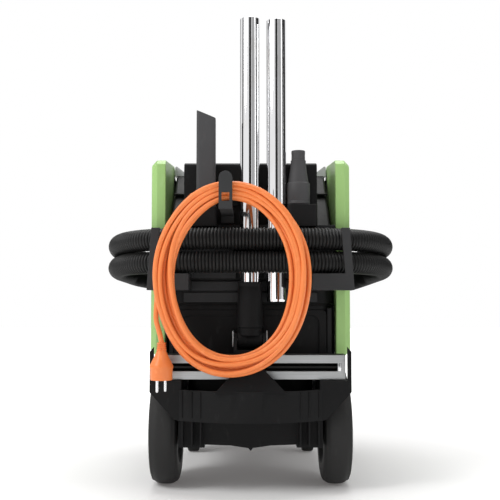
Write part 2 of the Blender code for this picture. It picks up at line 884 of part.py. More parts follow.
def float_cage():
    """The basket below the throat that guides the float."""
    top = BASE_Z[0] - GAP
    profile = [(0.009, 0.272), (0.028, 0.272), (0.028, top), (0.0245, top), (0.0245, 0.275), (0.009, 0.275)]
    body = turned("float_cage", profile, (0, MOTOR_Y, 0), (0, 0, 1), grey(), 24)
    slots = [
        block("slot", (-0.04, 0.04), (MOTOR_Y - 0.007, MOTOR_Y + 0.007), (0.282, 0.314), grey()),
        block("slot", (-0.007, 0.007), (MOTOR_Y - 0.04, MOTOR_Y + 0.04), (0.282, 0.314), grey()),
    ]
    return cut(body, *slots)


def float_ball():
    """The light ball that rises and closes the throat when the tank is full."""
    radius, middle = 0.0175, 0.2945
    turns = [math.pi * k / 12 for k in range(13)]
    profile = [(radius * math.sin(t), middle - radius * math.cos(t)) for t in turns]
    return turned("float_ball", profile, (0, MOTOR_Y, 0), (0, 0, 1), light_grey(), 24)


# ---- tubes, nozzle and small tools --------------------------------------------------
def suction_tube(name, which):
    low, high = TUBE_FOOT[which], TUBE_TOP[which]
    inner = TUBE_R - 0.0015
    profile = [(inner, low), (TUBE_R, low), (TUBE_R, high - 0.0005), (TUBE_R - 0.0005, high), (inner, high)]
    return turned(name, profile, (TUBE_X[which], TUBE_Y, 0), (0, 0, 1), chrome(), 32)


def nozzle_neck():
    """The tilting neck of the floor nozzle, which the left tube plugs into."""
    x, y, z = NOZZLE_PIVOT
    sleeve = TUBE_R + 0.0003
    profile = [
        (0, 0.268),
        (0.0225, 0.268),
        (0.0225, 0.282),
        (0.0238, 0.286),
        (0.0238, 0.290),
        (0.0220, 0.338),
        (0.0220, 0.365),
        (sleeve, 0.365),
        (sleeve, TUBE_FOOT[0] - 0.0005),
        (0, TUBE_FOOT[0] - 0.0005),
    ]
    body = turned("nozzle_neck", profile, (x, y, 0), (0, 0, 1), black(), 32)
    return joined(body, rod("knuckle", 0.0160, (x - 0.0225, y, z), (x + 0.0225, y, z), black()))


def nozzle_body():
    """The floor nozzle's housing, standing on edge with its sole to the rear."""
    x, y, z = NOZZLE_PIVOT
    section = [
        (-0.2365, NOZZLE_Z[0]),
        (-0.2365, NOZZLE_Z[1]),
        (-0.2050, NOZZLE_Z[1]),
        (-0.1985, 0.228),
        (-0.1985, 0.203),
        (-0.2050, NOZZLE_Z[0]),
    ]
    body = prism("nozzle_body", section, "X", -NOZZLE_HALF, NOZZLE_HALF, black())
    extras = []
    for side in (-1, 1):
        ear = [
            (y - 0.028, 0.226),
            (y - 0.010, 0.226),
            (y + 0.012, 0.256),
            (y + 0.010, 0.272),
            (y - 0.010, 0.274),
            (y - 0.028, 0.240),
        ]
        low, high = sorted((x + side * 0.0232, x + side * 0.0290))
        extras.append(prism("ear", ear, "X", low, high, black()))
    bridge = [(y - 0.028, 0.228), (y - 0.012, 0.228), (y - 0.014, 0.2440), (y - 0.028, 0.2440)]
    extras.append(prism("bridge", bridge, "X", x - 0.026, x + 0.026, black()))
    joined(body, *extras)
    slot = block("slot", (-NOZZLE_SLOT, NOZZLE_SLOT), (-0.24, -0.222), (0.2105, 0.2225), black())
    return cut(body, slot)


def nozzle_sole():
    """The metal glide frame round the nozzle's suction slot."""
    x = (-NOZZLE_HALF, NOZZLE_HALF)
    body = block("nozzle_sole", x, (-0.2400, -0.2365 - GAP), (0.1955, 0.2375), steel())
    return cut(body, block("slot", (-NOZZLE_SLOT, NOZZLE_SLOT), (-0.25, -0.23), (0.2095, 0.2235), steel()))


def nozzle_lip():
    """The rubber lip that stands in the suction slot."""
    half = NOZZLE_SLOT - 0.001
    return block("nozzle_lip", (-half, half), (-0.2385, -0.2225), (0.2150, 0.2180), rubber())


def elbow_clip():
    """The spring steel clip that holds the neck's knuckle between the nozzle's ears."""
    x, y, _ = NOZZLE_PIVOT
    inner, outer = 0.0293, 0.0313
    body = block("elbow_clip", (x - outer, x + outer), (y + 0.0195, y + 0.0215), (0.254, 0.264), steel())
    sheets = []
    for side in (-1, 1):
        wall = sorted((x + side * inner, x + side * outer))
        sheets.append(block("cheek", wall, (y - 0.018, y + 0.0165), (0.250, 0.278), steel()))
        sheets.append(block("link", wall, (y + 0.010, y + 0.0215), (0.254, 0.264), steel()))
    return joined(body, *sheets)


def crevice_tool():
    """The flat slanted crevice tool on its round spigot."""
    half = 0.0175
    blade = [
        (CREVICE_X - half, 0.5010),
        (CREVICE_X + half, 0.5010),
        (CREVICE_X + half, 0.6620),
        (CREVICE_X - half, 0.6770),
    ]
    body = prism("crevice_tool", blade, "Y", TUBE_Y - 0.0115, TUBE_Y + 0.0115, grey())
    rounded(body, 0.003, 1, 60)
    joined(body, rod("spigot", 0.0170, (CREVICE_X, TUBE_Y, 0.4700), (CREVICE_X, TUBE_Y, 0.5200), grey()))
    x = (CREVICE_X - 0.014, CREVICE_X + 0.014)
    return cut(body, block("mouth", x, (TUBE_Y - 0.008, TUBE_Y + 0.008), (0.62, 0.70), grey()))


def tool_adapter():
    """The stepped rubber cuff that joins the hose to a power tool."""
    profile = [
        (0, 0.4700),
        (0.0170, 0.4700),
        (0.0170, 0.5045),
        (0.0210, 0.5045),
        (0.0210, 0.5430),
        (0.0180, 0.5440),
        (0.0135, 0.5820),
        (0.0125, 0.5830),
        (0.0125, 0.6030),
        (0.0100, 0.6030),
        (0.0100, 0.5300),
        (0, 0.5300),
    ]
    return turned("tool_adapter", profile, (ADAPTER_X, TUBE_Y, 0), (0, 0, 1), grey(), 24)


# ---- mains cord ---------------------------------------------------------------------
GLAND = (-0.0300, -0.2010, 0.5160)  # where the cord leaves its strain relief
COIL_OUT = (-0.1585, COIL_CENTRE[1], 0.3030)  # where the free end leaves the coil
PLUG = (-0.1490, COIL_CENTRE[1], 0.2620)  # where it enters the plug


def cord_gland():
    """The nut and tapered strain relief on the head's back."""
    profile = [(0, 0), (0.011, 0), (0.011, 0.010), (0.0075, 0.011), (0.0062, 0.0370), (0, 0.0370)]
    return turned("cord_gland", profile, (GLAND[0], PANEL_Y - GAP, GLAND[2]), (0, -1, 0), black(), 20)


def cord_hook():
    """The hook on the head's back that the coiled cord hangs on."""
    x = HOOK_X
    middle = (x[0] + x[1]) / 2
    radius = (x[1] - x[0]) / 2
    top = 0.5490
    face = [(x[0], 0.4850), (x[1], 0.4850), *arc((middle, top - radius), radius, 0, 180, 8)]
    body = prism("cord_hook", face, "Y", -HALF_LENGTH, -0.3060, grey())
    arm = block("arm", (x[0] + 0.001, x[1] - 0.001), (-0.308, PANEL_Y - GAP), (0.4850, 0.4925), grey())
    root = block("root", (x[0], x[1]), (-0.1800, PANEL_Y - GAP), (0.4720, 0.4960), grey())
    joined(body, arm, root)
    return cut(body, block("slot", (x[0] + 0.005, x[1] - 0.005), (-0.32, -0.30), (0.4980, 0.5130), grey()))


def cord_lead():
    """The short stretch from the strain relief to the back of the coil."""
    x, y, z = GLAND
    route = [
        (x, y, z),
        (x, y - 0.020, z),
        (x - 0.001, y - 0.042, z),
        (x - 0.012, y - 0.064, z + 0.001),
        (x - 0.036, y - 0.076, z),
    ]
    return flexible("cord_lead", curve_through(route, 9), CORD_D, orange())


def cord_coil():
    """The outer shape of the wound cord: an oval ring with a rounded section."""
    turns, across = 56, 10
    shape = bmesh.new()
    rings = []
    for k in range(turns):
        t = 2 * math.pi * k / turns
        out = Vector((math.cos(t) / COIL_HALF[0], 0, math.sin(t) / COIL_HALF[1])).normalized()
        middle = Vector(COIL_CENTRE) + Vector((COIL_HALF[0] * math.cos(t), 0, COIL_HALF[1] * math.sin(t)))
        ring = []
        for m in range(across):
            s = 2 * math.pi * (m + 0.5) / across
            wide = math.copysign(abs(math.cos(s)) ** 0.7, math.cos(s)) * COIL_BAND[0] / 2
            deep = math.copysign(abs(math.sin(s)) ** 0.7, math.sin(s)) * COIL_BAND[1] / 2
            ring.append(shape.verts.new(middle + out * wide + Vector((0, deep, 0))))
        rings.append(ring)
    for k in range(turns):
        a, b = rings[k], rings[(k + 1) % turns]
        for m in range(across):
            n = (m + 1) % across
            shape.faces.new((a[m], a[n], b[n], b[m]))
    return smooth(make("cord_coil", shape, orange()))


def cord_tail():
    """The free end that hangs from the coil to the plug."""
    x, y, z = COIL_OUT
    route = [
        (x, y, z),
        (x + 0.0030, y, z - 0.015),
        (x + 0.0070, y, z - 0.029),
        (PLUG[0], y, PLUG[2] + GAP + 0.0010),
    ]
    return flexible("cord_tail", curve_through(route, 6), CORD_D, orange())


def power_plug():
    """The moulded earthed plug, hanging pins down."""
    x, y, top = PLUG
    profile = [
        (0, top),
        (0.0060, top),
        (0.0090, top - 0.014),
        (0.0130, top - 0.018),
        (0.0160, top - 0.026),
        (0.0205, top - 0.036),
        (0.0210, top - 0.052),
        (0.0185, top - 0.064),
        (0, top - 0.064),
    ]
    body = turned("power_plug", profile[::-1], (x, y, 0), (0, 0, 1), orange(), 24)
    turn = math.radians(50)
    pins = []
    for side in (-1, 1):
        px, py = x + side * 0.0095 * math.cos(turn), y + side * 0.0095 * math.sin(turn)
        pins.append(rod("pin", 0.0024, (px, py, top - 0.083), (px, py, top - 0.060), orange(), 12))
    return joined(body, *pins)


# ---- hose ---------------------------------------------------------------------------
ELBOW_TILT = math.radians(30)  # how far the elbow's mouth points up
ELBOW_BEND = 0.031
ELBOW_END = 0.068  # from the port's axis to the elbow's mouth
HOSE_TURNS = (0.115, 1.900)  # where its turns begin and end, from the front middle
HOSE_LOW = 0.3575  # height of the hose's centre before its first climb at the front
HOSE_PITCH = 0.0425  # climb in each turn
HOSE_SAG = 0.037  # how much lower its turns hang in front
GRIP = ((-0.100, 0.2866, 0.4208), (0.105, 0.3030, 0.4370))  # ends of the hand grip


def from_port(along, across):
    """A point of the elbow: along the port's axis, then out through its tilted mouth."""
    x, z = across * math.cos(ELBOW_TILT), across * math.sin(ELBOW_TILT)
    return Vector((x, TANK_Y[1] + 0.0263 + along, PORT_Z + z))


def hose_level(turn):
    """The height of the hose's centre: it climbs in front, and sags a little there."""
    height = HOSE_LOW - HOSE_SAG * ((1 + math.cos(2 * math.pi * turn)) / 2) ** 2
    for start in (-0.20, 0.80, 1.80):
        share = min(max((turn - start) / 0.42, 0.0), 1.0)
        height += HOSE_PITCH * share * share * (3 - 2 * share)
    return height


def hose_point(turn):
    """A point on the hose's turns, which lie round the machine."""
    t = 2 * math.pi * turn
    power = 2 / HOSE_SQUARE
    x = HOSE_HALF[0] * math.copysign(abs(math.sin(t)) ** power, math.sin(t))
    y = HOSE_HALF[1] * math.copysign(abs(math.cos(t)) ** power, math.cos(t))
    return (x, HOSE_CENTRE_Y + y, hose_level(turn))


def hose_route():
    """The hose's route: out of the elbow, twice round the machine, to the hand grip."""
    mouth = 0.004 + ELBOW_BEND
    route = [from_port(mouth, ELBOW_END), from_port(mouth, ELBOW_END + 0.045)]
    first, last = HOSE_TURNS
    steps = 46
    route += [hose_point(first + (last - first) * k / steps) for k in range(steps + 1)]
    start, end = Vector(GRIP[0]), Vector(GRIP[1])
    return [*route, start - (end - start).normalized() * 0.045, start]


def hose():
    """The corrugated suction hose, wound round the machine on the rack's arms."""
    return flexible("hose", curve_through(hose_route(), 80), HOSE_D, black(), 3)


def hose_cuff():
    """The swivel elbow that plugs the hose into the inlet port."""
    route = [from_port(0, 0), from_port(0.004, 0)]
    for across, along in arc((0, 0.004), ELBOW_BEND, 15, 90, 5):
        route.append(from_port(along, ELBOW_BEND - across))
    route.append(from_port(0.004 + ELBOW_BEND, ELBOW_END - 0.001))
    return flexible("hose_cuff", route, 0.044, black(), 3)


def hose_grip():
    """The hand grip on the hose's far end, laid along the front over the first turn."""
    start, end = Vector(GRIP[0]), Vector(GRIP[1])
    long = (end - start).length
    profile = [
        (0, 0.002),
        (0.0215, 0.002),
        (0.0215, 0.050),
        (0.0190, 0.060),
        (0.0190, long - 0.015),
        (0.0180, long),
        (0, long),
    ]
    return turned("hose_grip", profile, start, (end - start).normalized(), black(), 24)


# ---- assembly -----------------------------------------------------------------------
def clear_scene():
    for old in list(bpy.data.objects):
        bpy.data.objects.remove(old)


def sides(builder, stem):
    """Makes a piece on each side of the machine."""
    for word, side in (("left", -1), ("right", 1)):
        builder(f"{stem}_{word}", side)


def build():
    clear_scene()
    chassis()
    rear_axle()
    sides(rear_wheel, "wheel")
    sides(caster_fork, "caster_fork")
    sides(caster_wheel, "caster_wheel")
    sides(caster_brake, "caster_brake")
    tank()
    tank_seal()
    inlet_port()
    sides(rail, "rail")
    rear_rack()
    tool_cup("tool_cup_left", (-0.107, -0.060), CREVICE_X, 0.5000)
    tool_cup("tool_cup_right", (0.0655, 0.1195), ADAPTER_X, 0.5035)
    tube_clip()
    head_base()
    head_shell()
    rear_panel()
    top_cover()
    handle()
    control_panel()
    knob("power_switch", -0.085, 0.057, 0.020, 0.016, grey())
    knob("suction_dial", 0.0, 0.070, 0.015, 0.014, grey())
    clean_button()
    power_socket()
    socket_lid()
    exhaust_grille()
    sides(latch, "latch")
    motor_housing()
    motor()
    impeller()
    sides(filter_cassette, "filter")
    filter_shaker()
    circuit_board()
    float_cage()
    float_ball()
    suction_tube("suction_tube_left", 0)
    suction_tube("suction_tube_right", 1)
    nozzle_neck()
    nozzle_body()
    nozzle_sole()
    nozzle_lip()
    elbow_clip()
    crevice_tool()
    tool_adapter()
    cord_gland()
    cord_hook()
    cord_lead()
    cord_coil()
    cord_tail()
    power_plug()
    hose()
    hose_cuff()
    hose_grip()


build()
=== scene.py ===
"""The finish of a wheeled shop vacuum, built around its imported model."""

import math

import bmesh
import bpy
from mathutils import Matrix, Vector


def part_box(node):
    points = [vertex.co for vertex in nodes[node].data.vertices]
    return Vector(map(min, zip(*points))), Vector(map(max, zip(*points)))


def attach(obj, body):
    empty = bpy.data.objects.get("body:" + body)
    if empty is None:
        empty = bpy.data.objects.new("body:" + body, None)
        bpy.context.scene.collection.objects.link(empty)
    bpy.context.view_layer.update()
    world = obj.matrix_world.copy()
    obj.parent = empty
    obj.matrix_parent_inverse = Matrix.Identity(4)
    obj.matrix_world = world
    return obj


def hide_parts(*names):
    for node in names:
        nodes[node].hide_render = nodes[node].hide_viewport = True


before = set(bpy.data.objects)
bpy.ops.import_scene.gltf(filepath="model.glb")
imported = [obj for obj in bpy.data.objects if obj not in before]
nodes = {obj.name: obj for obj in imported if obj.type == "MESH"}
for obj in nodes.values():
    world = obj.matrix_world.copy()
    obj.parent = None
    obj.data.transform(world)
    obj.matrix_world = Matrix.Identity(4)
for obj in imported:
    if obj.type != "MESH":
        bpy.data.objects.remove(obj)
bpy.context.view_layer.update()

# ---- camera -------------------------------------------------------------------------
# A short telephoto lens a metre and a half behind the machine, a third of a metre over
# the floor and tipped up a little, so that the suction tubes fit in the frame.
camera = bpy.data.objects.new("camera", bpy.data.cameras.new("camera"))
camera.data.lens = 62.0
camera.data.sensor_width = 36.0
camera.location = (-0.001, -1.740, 0.335)
TIPPED_UP = math.radians(3.24)
camera.rotation_euler = (math.radians(90) + TIPPED_UP, 0, 0)
bpy.context.scene.collection.objects.link(camera)
bpy.context.scene.camera = camera
bpy.context.scene.view_settings.view_transform = "Standard"


# ---- floor and lights ---------------------------------------------------------------
# A pale seamless floor under a white studio sky, with light painted into it: it glows
# dim near the machine and white far from it. A soft box stands high on the left, a weaker
# one on the right and one overhead, and flags that only show in the polished metal draw
# its dark streaks.
class Signal:
    """A socket of a finish. Sums and products of signals add Math nodes."""

    def __init__(self, finish, socket):
        self.finish, self.socket = finish, socket

    def math(self, operation, *values):
        return self.finish.node("ShaderNodeMath", {"operation": operation}, dict(enumerate(values)))

    def __add__(self, other):
        return self.math("ADD", self, other)

    def __sub__(self, other):
        return self.math("SUBTRACT", self, other)

    def __rsub__(self, other):
        return self.math("SUBTRACT", other, self)

    def __mul__(self, other):
        return self.math("MULTIPLY", self, other)

    def within(self, low, high):
        """0 below low, 1 above high, and straight between them."""
        sockets = {"Value": self, "From Min": low, "From Max": high}
        return self.finish.node("ShaderNodeMapRange", {"clamp": True}, sockets)

    __radd__ = __add__
    __rmul__ = __mul__


class Finish:
    """A Principled material, made up from nodes that follow the piece itself."""

    def __init__(self, name, fixed=None):
        self.material = bpy.data.materials.new(name)
        self.material.use_nodes = True
        self.tree = self.material.node_tree
        self.shader = self.tree.nodes["Principled BSDF"]
        for socket, value in (fixed or {}).items():
            self.shader.inputs[socket].default_value = value
        self.place = self.node("ShaderNodeTexCoord", {}, {}, "Object")

    def node(self, kind, settings, sockets, out=0):
        """Any node: its settings first, then its sockets' values or links."""
        made = self.tree.nodes.new(kind)
        for name, value in settings.items():
            setattr(made, name, value)
        for name, value in sockets.items():
            self.feed(made.inputs[name], value)
        return Signal(self, made.outputs[out])

    def feed(self, socket, value):
        if isinstance(value, Signal):
            self.tree.links.new(value.socket, socket)
        else:
            socket.default_value = value

    def noise(self, scale, detail=2.0, stretch=(1, 1, 1)):
        """Cloudy values round 0.5, with so many lumps to the metre."""
        stretched = {0: self.place, 1: stretch}
        place = self.node("ShaderNodeVectorMath", {"operation": "MULTIPLY"}, stretched)
        sockets = {"Vector": place, "Scale": scale, "Detail": detail}
        return self.node("ShaderNodeTexNoise", {}, sockets)

    def mixed(self, share, first, second):
        """One colour going over to another as share goes from 0 to 1."""
        return self.node("ShaderNodeMix", {"data_type": "RGBA"}, {0: share, 6: first, 7: second}, 2)

    def upward(self):
        """1 on what faces up, 0 on walls and undersides."""
        normal = self.node("ShaderNodeNewGeometry", {}, {}, "Normal")
        height = self.node("ShaderNodeSeparateXYZ", {}, {0: normal}, "Z")
        return height.within(0.35, 1.0)

    def wear(self, colour, roughness, bump=None, depth=0.0):
        """The values that change over the surface, fed to the shader."""
        self.feed(self.shader.inputs["Base Color"], colour)
        self.feed(self.shader.inputs["Roughness"], roughness)
        if bump is not None:
            relief = {"Height": bump, "Distance": depth, "Strength": 1.0}
            self.feed(self.shader.inputs["Normal"], self.node("ShaderNodeBump", {}, relief))
        return self.material


def painted_floor():
    """Matt white floor paint, a little uneven, with painted light: it glows dim near the machine and white
    far from it.
    """
    finish = Finish("studio_floor", {"Specular IOR Level": 0.1, "Emission Strength": 1.0})
    # Painted light: the emission is dim near the machine, where its shadow lies, and white far off.
    distance = finish.node("ShaderNodeVectorMath", {"operation": "LENGTH"}, {0: finish.place}, "Value")
    glow = finish.mixed(distance.within(0.5, 2.2), (0.09, 0.085, 0.083, 1), (1, 1, 1, 1))
    finish.feed(finish.shader.inputs["Emission Color"], glow)
    cloud = finish.noise(3.0)
    colour = finish.mixed(cloud, (0.86, 0.86, 0.85, 1), (0.90, 0.90, 0.90, 1))
    return finish.wear(colour, 0.65 + 0.1 * cloud)


def sheet(name, width, height, place, aim, material):
    """A flat rectangle that faces the aim."""
    shape = bmesh.new()
    corners = ((-1, -1), (1, -1), (1, 1), (-1, 1))
    shape.faces.new([shape.verts.new((width / 2 * x, height / 2 * y, 0)) for x, y in corners])
    mesh = bpy.data.meshes.new(name)
    shape.to_mesh(mesh)
    shape.free()
    mesh.materials.append(material)
    card = bpy.data.objects.new(name, mesh)
    card.location = place
    card.rotation_euler = (Vector(aim) - Vector(place)).to_track_quat("Z", "Y").to_euler()
    bpy.context.scene.collection.objects.link(card)
    return card


sheet("studio_floor", 16.0, 16.0, (0, 0, 0), (0, 0, 1), painted_floor())

cloth_look = {"Roughness": 0.9, "Base Color": (0.004, 0.004, 0.004, 1)}
grey_glow = {"Emission Strength": 1.0, "Emission Color": (0.42, 0.42, 0.42, 1)}
black_cloth = Finish("flag_cloth", cloth_look).material
grey_cloth = Finish("grey_cloth", {**cloth_look, **grey_glow}).material
FLAG_HEIGHT, FLAG_AWAY = 5.0, 2.3
flag_middle = Vector((0, 0, 0.5))
for number, (turn, width, cloth) in enumerate((
    (1, 1.05, black_cloth),
    (71, 0.55, black_cloth),
    (101, 1.80, black_cloth),
    (-89, 0.72, black_cloth),
    (-150, 0.90, black_cloth),
    (37, 1.60, grey_cloth),
)):
    across = Vector((math.sin(math.radians(turn)), -math.cos(math.radians(turn)), 0))
    flag = sheet(f"flag_{number}", width, FLAG_HEIGHT, across * FLAG_AWAY + flag_middle, flag_middle, cloth)
    flag.visible_camera = False
    flag.visible_diffuse = False
    flag.visible_shadow = False
    flag.visible_transmission = False

# The sky shows white, but lights matt surfaces at about half of that.
sky = bpy.data.worlds.new("studio_sky")
bpy.context.scene.world = sky
sky.use_nodes = True
sky_nodes, links = sky.node_tree.nodes, sky.node_tree.links
white_sky = sky_nodes["Background"]
white_sky.inputs["Color"].default_value = (1, 1, 1, 1)
white_sky.inputs["Strength"].default_value = 1.0
dim_sky = sky_nodes.new("ShaderNodeBackground")
dim_sky.inputs["Strength"].default_value = 0.55
sight = sky_nodes.new("ShaderNodeLightPath")
both_skies = sky_nodes.new("ShaderNodeMixShader")
links.new(sight.outputs["Is Diffuse Ray"], both_skies.inputs["Fac"])
links.new(white_sky.outputs[0], both_skies.inputs[1])
links.new(dim_sky.outputs[0], both_skies.inputs[2])
links.new(both_skies.outputs[0], sky_nodes["World Output"].inputs["Surface"])

for name, place, size, power in (
    ("key_box", (-2.2, -1.6, 2.4), 1.6, 55.0),
    ("fill_box", (2.4, -1.2, 1.6), 1.8, 12.0),
    ("top_box", (0.0, 0.4, 3.2), 2.4, 70.0),
):
    lamp = bpy.data.objects.new(name, bpy.data.lights.new(name, "AREA"))
    lamp.data.shape = "DISK"
    lamp.data.size = size
    lamp.data.energy = power
    lamp.location = place
    lamp.rotation_euler = (Vector((0, 0, 0.3)) - Vector(place)).to_track_quat("-Z", "Y").to_euler()
    bpy.context.scene.collection.objects.link(lamp)


# ---- mains cord ---------------------------------------------------------------------
# An 8.5 mm two-core lead in soft orange PVC. It comes out of the gland on the head,
# bends over the hook's arm and is wound by hand into a long coil that hangs on the hook.
CORD_D = 0.0085
GLAND = Vector((-0.0300, -0.2010, 0.5160))
COIL_CENTRE = Vector((-0.031, -0.293, 0.369))
COIL_HALF = (0.115, 0.148)
COIL_OUT = Vector((-0.1585, -0.2930, 0.3030))
PLUG_TOP = Vector((-0.1490, -0.2930, 0.2620))
STRANDS_BACK = (0.0142, 0.0072, 0.0, -0.0072, -0.0142)
# Each key is the turn, how far out the strand lies there, and how far to the rear.
STRANDS_FRONT = (
    (5.05, -0.0132, 0.0050), (5.42, -0.0132, 0.0055), (5.58, -0.0050, 0.0060),
    (6.10, -0.0044, 0.0050), (6.30, -0.0128, 0.0105), (6.48, -0.0125, 0.0092),
    (6.72, -0.0030, 0.0062), (7.05, 0.0050, 0.0050), (7.36, 0.0052, 0.0052),
    (7.52, -0.0040, 0.0098), (7.70, 0.0030, 0.0085), (7.88, 0.0120, 0.0060),
    (8.10, 0.0134, 0.0048), (8.40, 0.0130, 0.0052), (8.62, 0.0056, 0.0095),
    (8.82, 0.0062, 0.0085), (9.02, 0.0138, 0.0066), (9.30, 0.0136, 0.0010),
)
COIL_START = 0.049
COIL_END = 9.275
PER_TURN = 64


def eased(share):
    """A smooth step from 0 to 1."""
    share = min(max(share, 0.0), 1.0)
    return share * share * (3 - 2 * share)


def strand_keys():
    """The whole winding: a flat layer against the arm, then the loose outer turns."""
    keys = []
    for turn, out in enumerate(STRANDS_BACK):
        keys.append((turn + 0.02, out, -0.0045))
        keys.append((turn + 0.78, out, -0.0045))
    return [*keys, *STRANDS_FRONT]


def coil_point(turn, keys):
    """Where the strand lies after so many turns, the top of the coil being a whole one."""
    at = max(k for k in range(len(keys) - 1) if k == 0 or keys[k][0] <= turn)
    before, after = keys[at], keys[at + 1]
    share = eased((turn - before[0]) / (after[0] - before[0]))
    out = before[1] + (after[1] - before[1]) * share
    rear = before[2] + (after[2] - before[2]) * share
    angle = 2 * math.pi * turn
    out += 0.0009 * math.sin(3 * angle + 2.1 * math.floor(turn)) + 0.0007 * math.sin(5 * angle + 1.0)
    squeezed = 1 - 0.16 * math.exp(-((turn - round(turn)) / 0.06) ** 2)
    x = -(COIL_HALF[0] + out * squeezed) * math.sin(angle)
    z = (COIL_HALF[1] + out * squeezed) * math.cos(angle)
    return COIL_CENTRE + Vector((x, -rear, z))


def through(points, spacing):
    """Evenly spaced points on a smooth curve through the route's points."""
    points = [Vector(p) for p in points]
    ends = [2 * points[0] - points[1], *points, 2 * points[-1] - points[-2]]
    fine = []
    for a, b, c, d in zip(ends, ends[1:], ends[2:], ends[3:]):
        steps = max(4, round((c - b).length / spacing * 4))
        for k in range(steps):
            t = k / steps
            bend, twist = 2 * a - 5 * b + 4 * c - d, 3 * b - a - 3 * c + d
            fine.append(0.5 * (2 * b + (c - a) * t + bend * t**2 + twist * t**3))
    fine.append(points[-1])
    reached = [0.0]
    for a, b in zip(fine, fine[1:]):
        reached.append(reached[-1] + (b - a).length)
    count = round(reached[-1] / spacing)
    spaced, i = [], 0
    for k in range(count + 1):
        wanted = reached[-1] * k / count
        while i < len(fine) - 2 and reached[i + 1] < wanted:
            i += 1
        share = (wanted - reached[i]) / (reached[i + 1] - reached[i])
        spaced.append(fine[i].lerp(fine[i + 1], min(share, 1.0)))
    return spaced


def length_of(points):
    return sum((b - a).length for a, b in zip(points, points[1:]))


def orange_sheath():
    """Soft PVC: satin, a little mottled, rubbed dull here and there."""
    finish = Finish("orange_sheath", {"Specular IOR Level": 0.45, "Subsurface Weight": 0.06})
    finish.shader.inputs["Subsurface Radius"].default_value = (0.004, 0.002, 0.001)
    cloud = finish.noise(24.0, 4.0)
    rubbed = finish.noise(130.0, 3.0).within(0.58, 0.74)
    grain = finish.noise(900.0)
    colour = finish.mixed(cloud, (0.75, 0.185, 0.040, 1), (0.82, 0.235, 0.062, 1))
    colour = finish.mixed(rubbed * 0.35, colour, (0.90, 0.34, 0.13, 1))
    return finish.wear(colour, 0.36 + 0.12 * cloud + 0.12 * rubbed, grain, 0.00012)


keys = strand_keys()
steps = round((COIL_END - COIL_START) * PER_TURN)
winding = [coil_point(COIL_START + (COIL_END - COIL_START) * k / steps, keys) for k in range(steps + 1)]
lead_steps = ((0, 0, 0), (0, -0.020, 0), (-0.001, -0.042, 0), (-0.009, -0.064, 0.001))
lead = [GLAND + Vector(step) for step in lead_steps]
tail = [
    COIL_OUT,
    COIL_OUT + Vector((0.0030, 0, -0.015)),
    COIL_OUT + Vector((0.0070, 0, -0.029)),
    PLUG_TOP,
]
cord_path = through([*lead, *winding[2:], *tail], 0.006)


def flexible(name, points, diameter, material):
    """A cord as a curve with a round section and closed ends."""
    curve = bpy.data.curves.new(name, "CURVE")
    curve.dimensions = "3D"
    curve.bevel_depth = diameter / 2
    curve.bevel_resolution = 4
    curve.use_fill_caps = True
    line = curve.splines.new("POLY")
    line.points.add(len(points) - 1)
    for place, point in zip(line.points, points):
        place.co = (*point, 1.0)
    curve.materials.append(material)
    body = bpy.data.objects.new(name, curve)
    bpy.context.scene.collection.objects.link(body)
    return body


def riding(made, body, slot, *replaced):
    """The new piece, moving with a body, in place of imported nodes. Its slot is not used."""
    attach(made, body)
    if replaced:
        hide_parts(*replaced)
    return made


sheath = orange_sheath()
mains_cord = flexible("mains_cord", cord_path, CORD_D, sheath)
riding(mains_cord, "head", "orange_sheath", "cord_lead", "cord_coil", "cord_tail")


# ---- mains plug ---------------------------------------------------------------------
# A two-pin plug moulded onto the cord in the same orange PVC, with a ribbed strain
# relief, a hand grip that flares to a round face, and nickel-plated brass pins.
PLUG_TURN = math.radians(50)
PIN_APART = 0.019
PIN_R = 0.0024


def piece(name, shape, material, degrees=35):
    """A new object from a bmesh, smooth except over edges sharper than the angle."""
    bmesh.ops.recalc_face_normals(shape, faces=shape.faces)
    mesh = bpy.data.meshes.new(name)
    shape.to_mesh(mesh)
    shape.free()
    mesh.materials.append(material)
    mesh.shade_smooth()
    mesh.set_sharp_from_angle(angle=math.radians(degrees))
    made = bpy.data.objects.new(name, mesh)
    bpy.context.scene.collection.objects.link(made)
    return made


def skin(shape, rings, closed=False):
    """Faces between rings of points, and over the first and the last ring."""
    loops = [[shape.verts.new(p) for p in ring] for ring in rings]
    pairs = list(zip(loops, loops[1:]))
    if closed:
        pairs.append((loops[-1], loops[0]))
    else:
        shape.faces.new(loops[0])
        shape.faces.new(loops[-1])
    for first, second in pairs:
        for k in range(len(first)):
            m = (k + 1) % len(first)
            shape.faces.new((first[k], first[m], second[m], second[k]))


def oval(a, b, z, square=2.0, count=40):
    """A level ring, round at square 2 and boxier above it."""
    ring = []
    for k in range(count):
        c, s = math.cos(2 * math.pi * k / count), math.sin(2 * math.pi * k / count)
        x = math.copysign(abs(c) ** (2 / square), c)
        y = math.copysign(abs(s) ** (2 / square), s)
        ring.append(Vector((a * x, b * y, z)))
    return ring


def plug_shape():
    """Rings from the strain relief down to the round face, and the two pins."""
    rings = [oval(0.0046, 0.0046, 0.0006)]
    for rib in range(4):
        for drop, out in ((0.0, 0.0064), (0.0005, 0.0078), (0.0019, 0.0078), (0.0024, 0.0064)):
            wide = out + 0.0004 * rib
            rings.append(oval(wide, wide * 0.92, -0.0002 - 0.0035 * rib - drop))
    for z, a, b, square in (
        (-0.0150, 0.0086, 0.0078, 2.0),
        (-0.0190, 0.0098, 0.0088, 2.3),
        (-0.0250, 0.0128, 0.0106, 2.6),
        (-0.0310, 0.0162, 0.0132, 2.6),
        (-0.0360, 0.0188, 0.0160, 2.4),
        (-0.0390, 0.0200, 0.0178, 2.3),
        (-0.0420, 0.0201, 0.0184, 2.2),
        (-0.0440, 0.0188, 0.0180, 2.1),
        (-0.0600, 0.0184, 0.0180, 2.1),
        (-0.0622, 0.0180, 0.0176, 2.1),
        (-0.0626, 0.0160, 0.0156, 2.1),
    ):
        rings.append(oval(a, b, z, square))
    shape = bmesh.new()
    skin(shape, rings)
    return shape


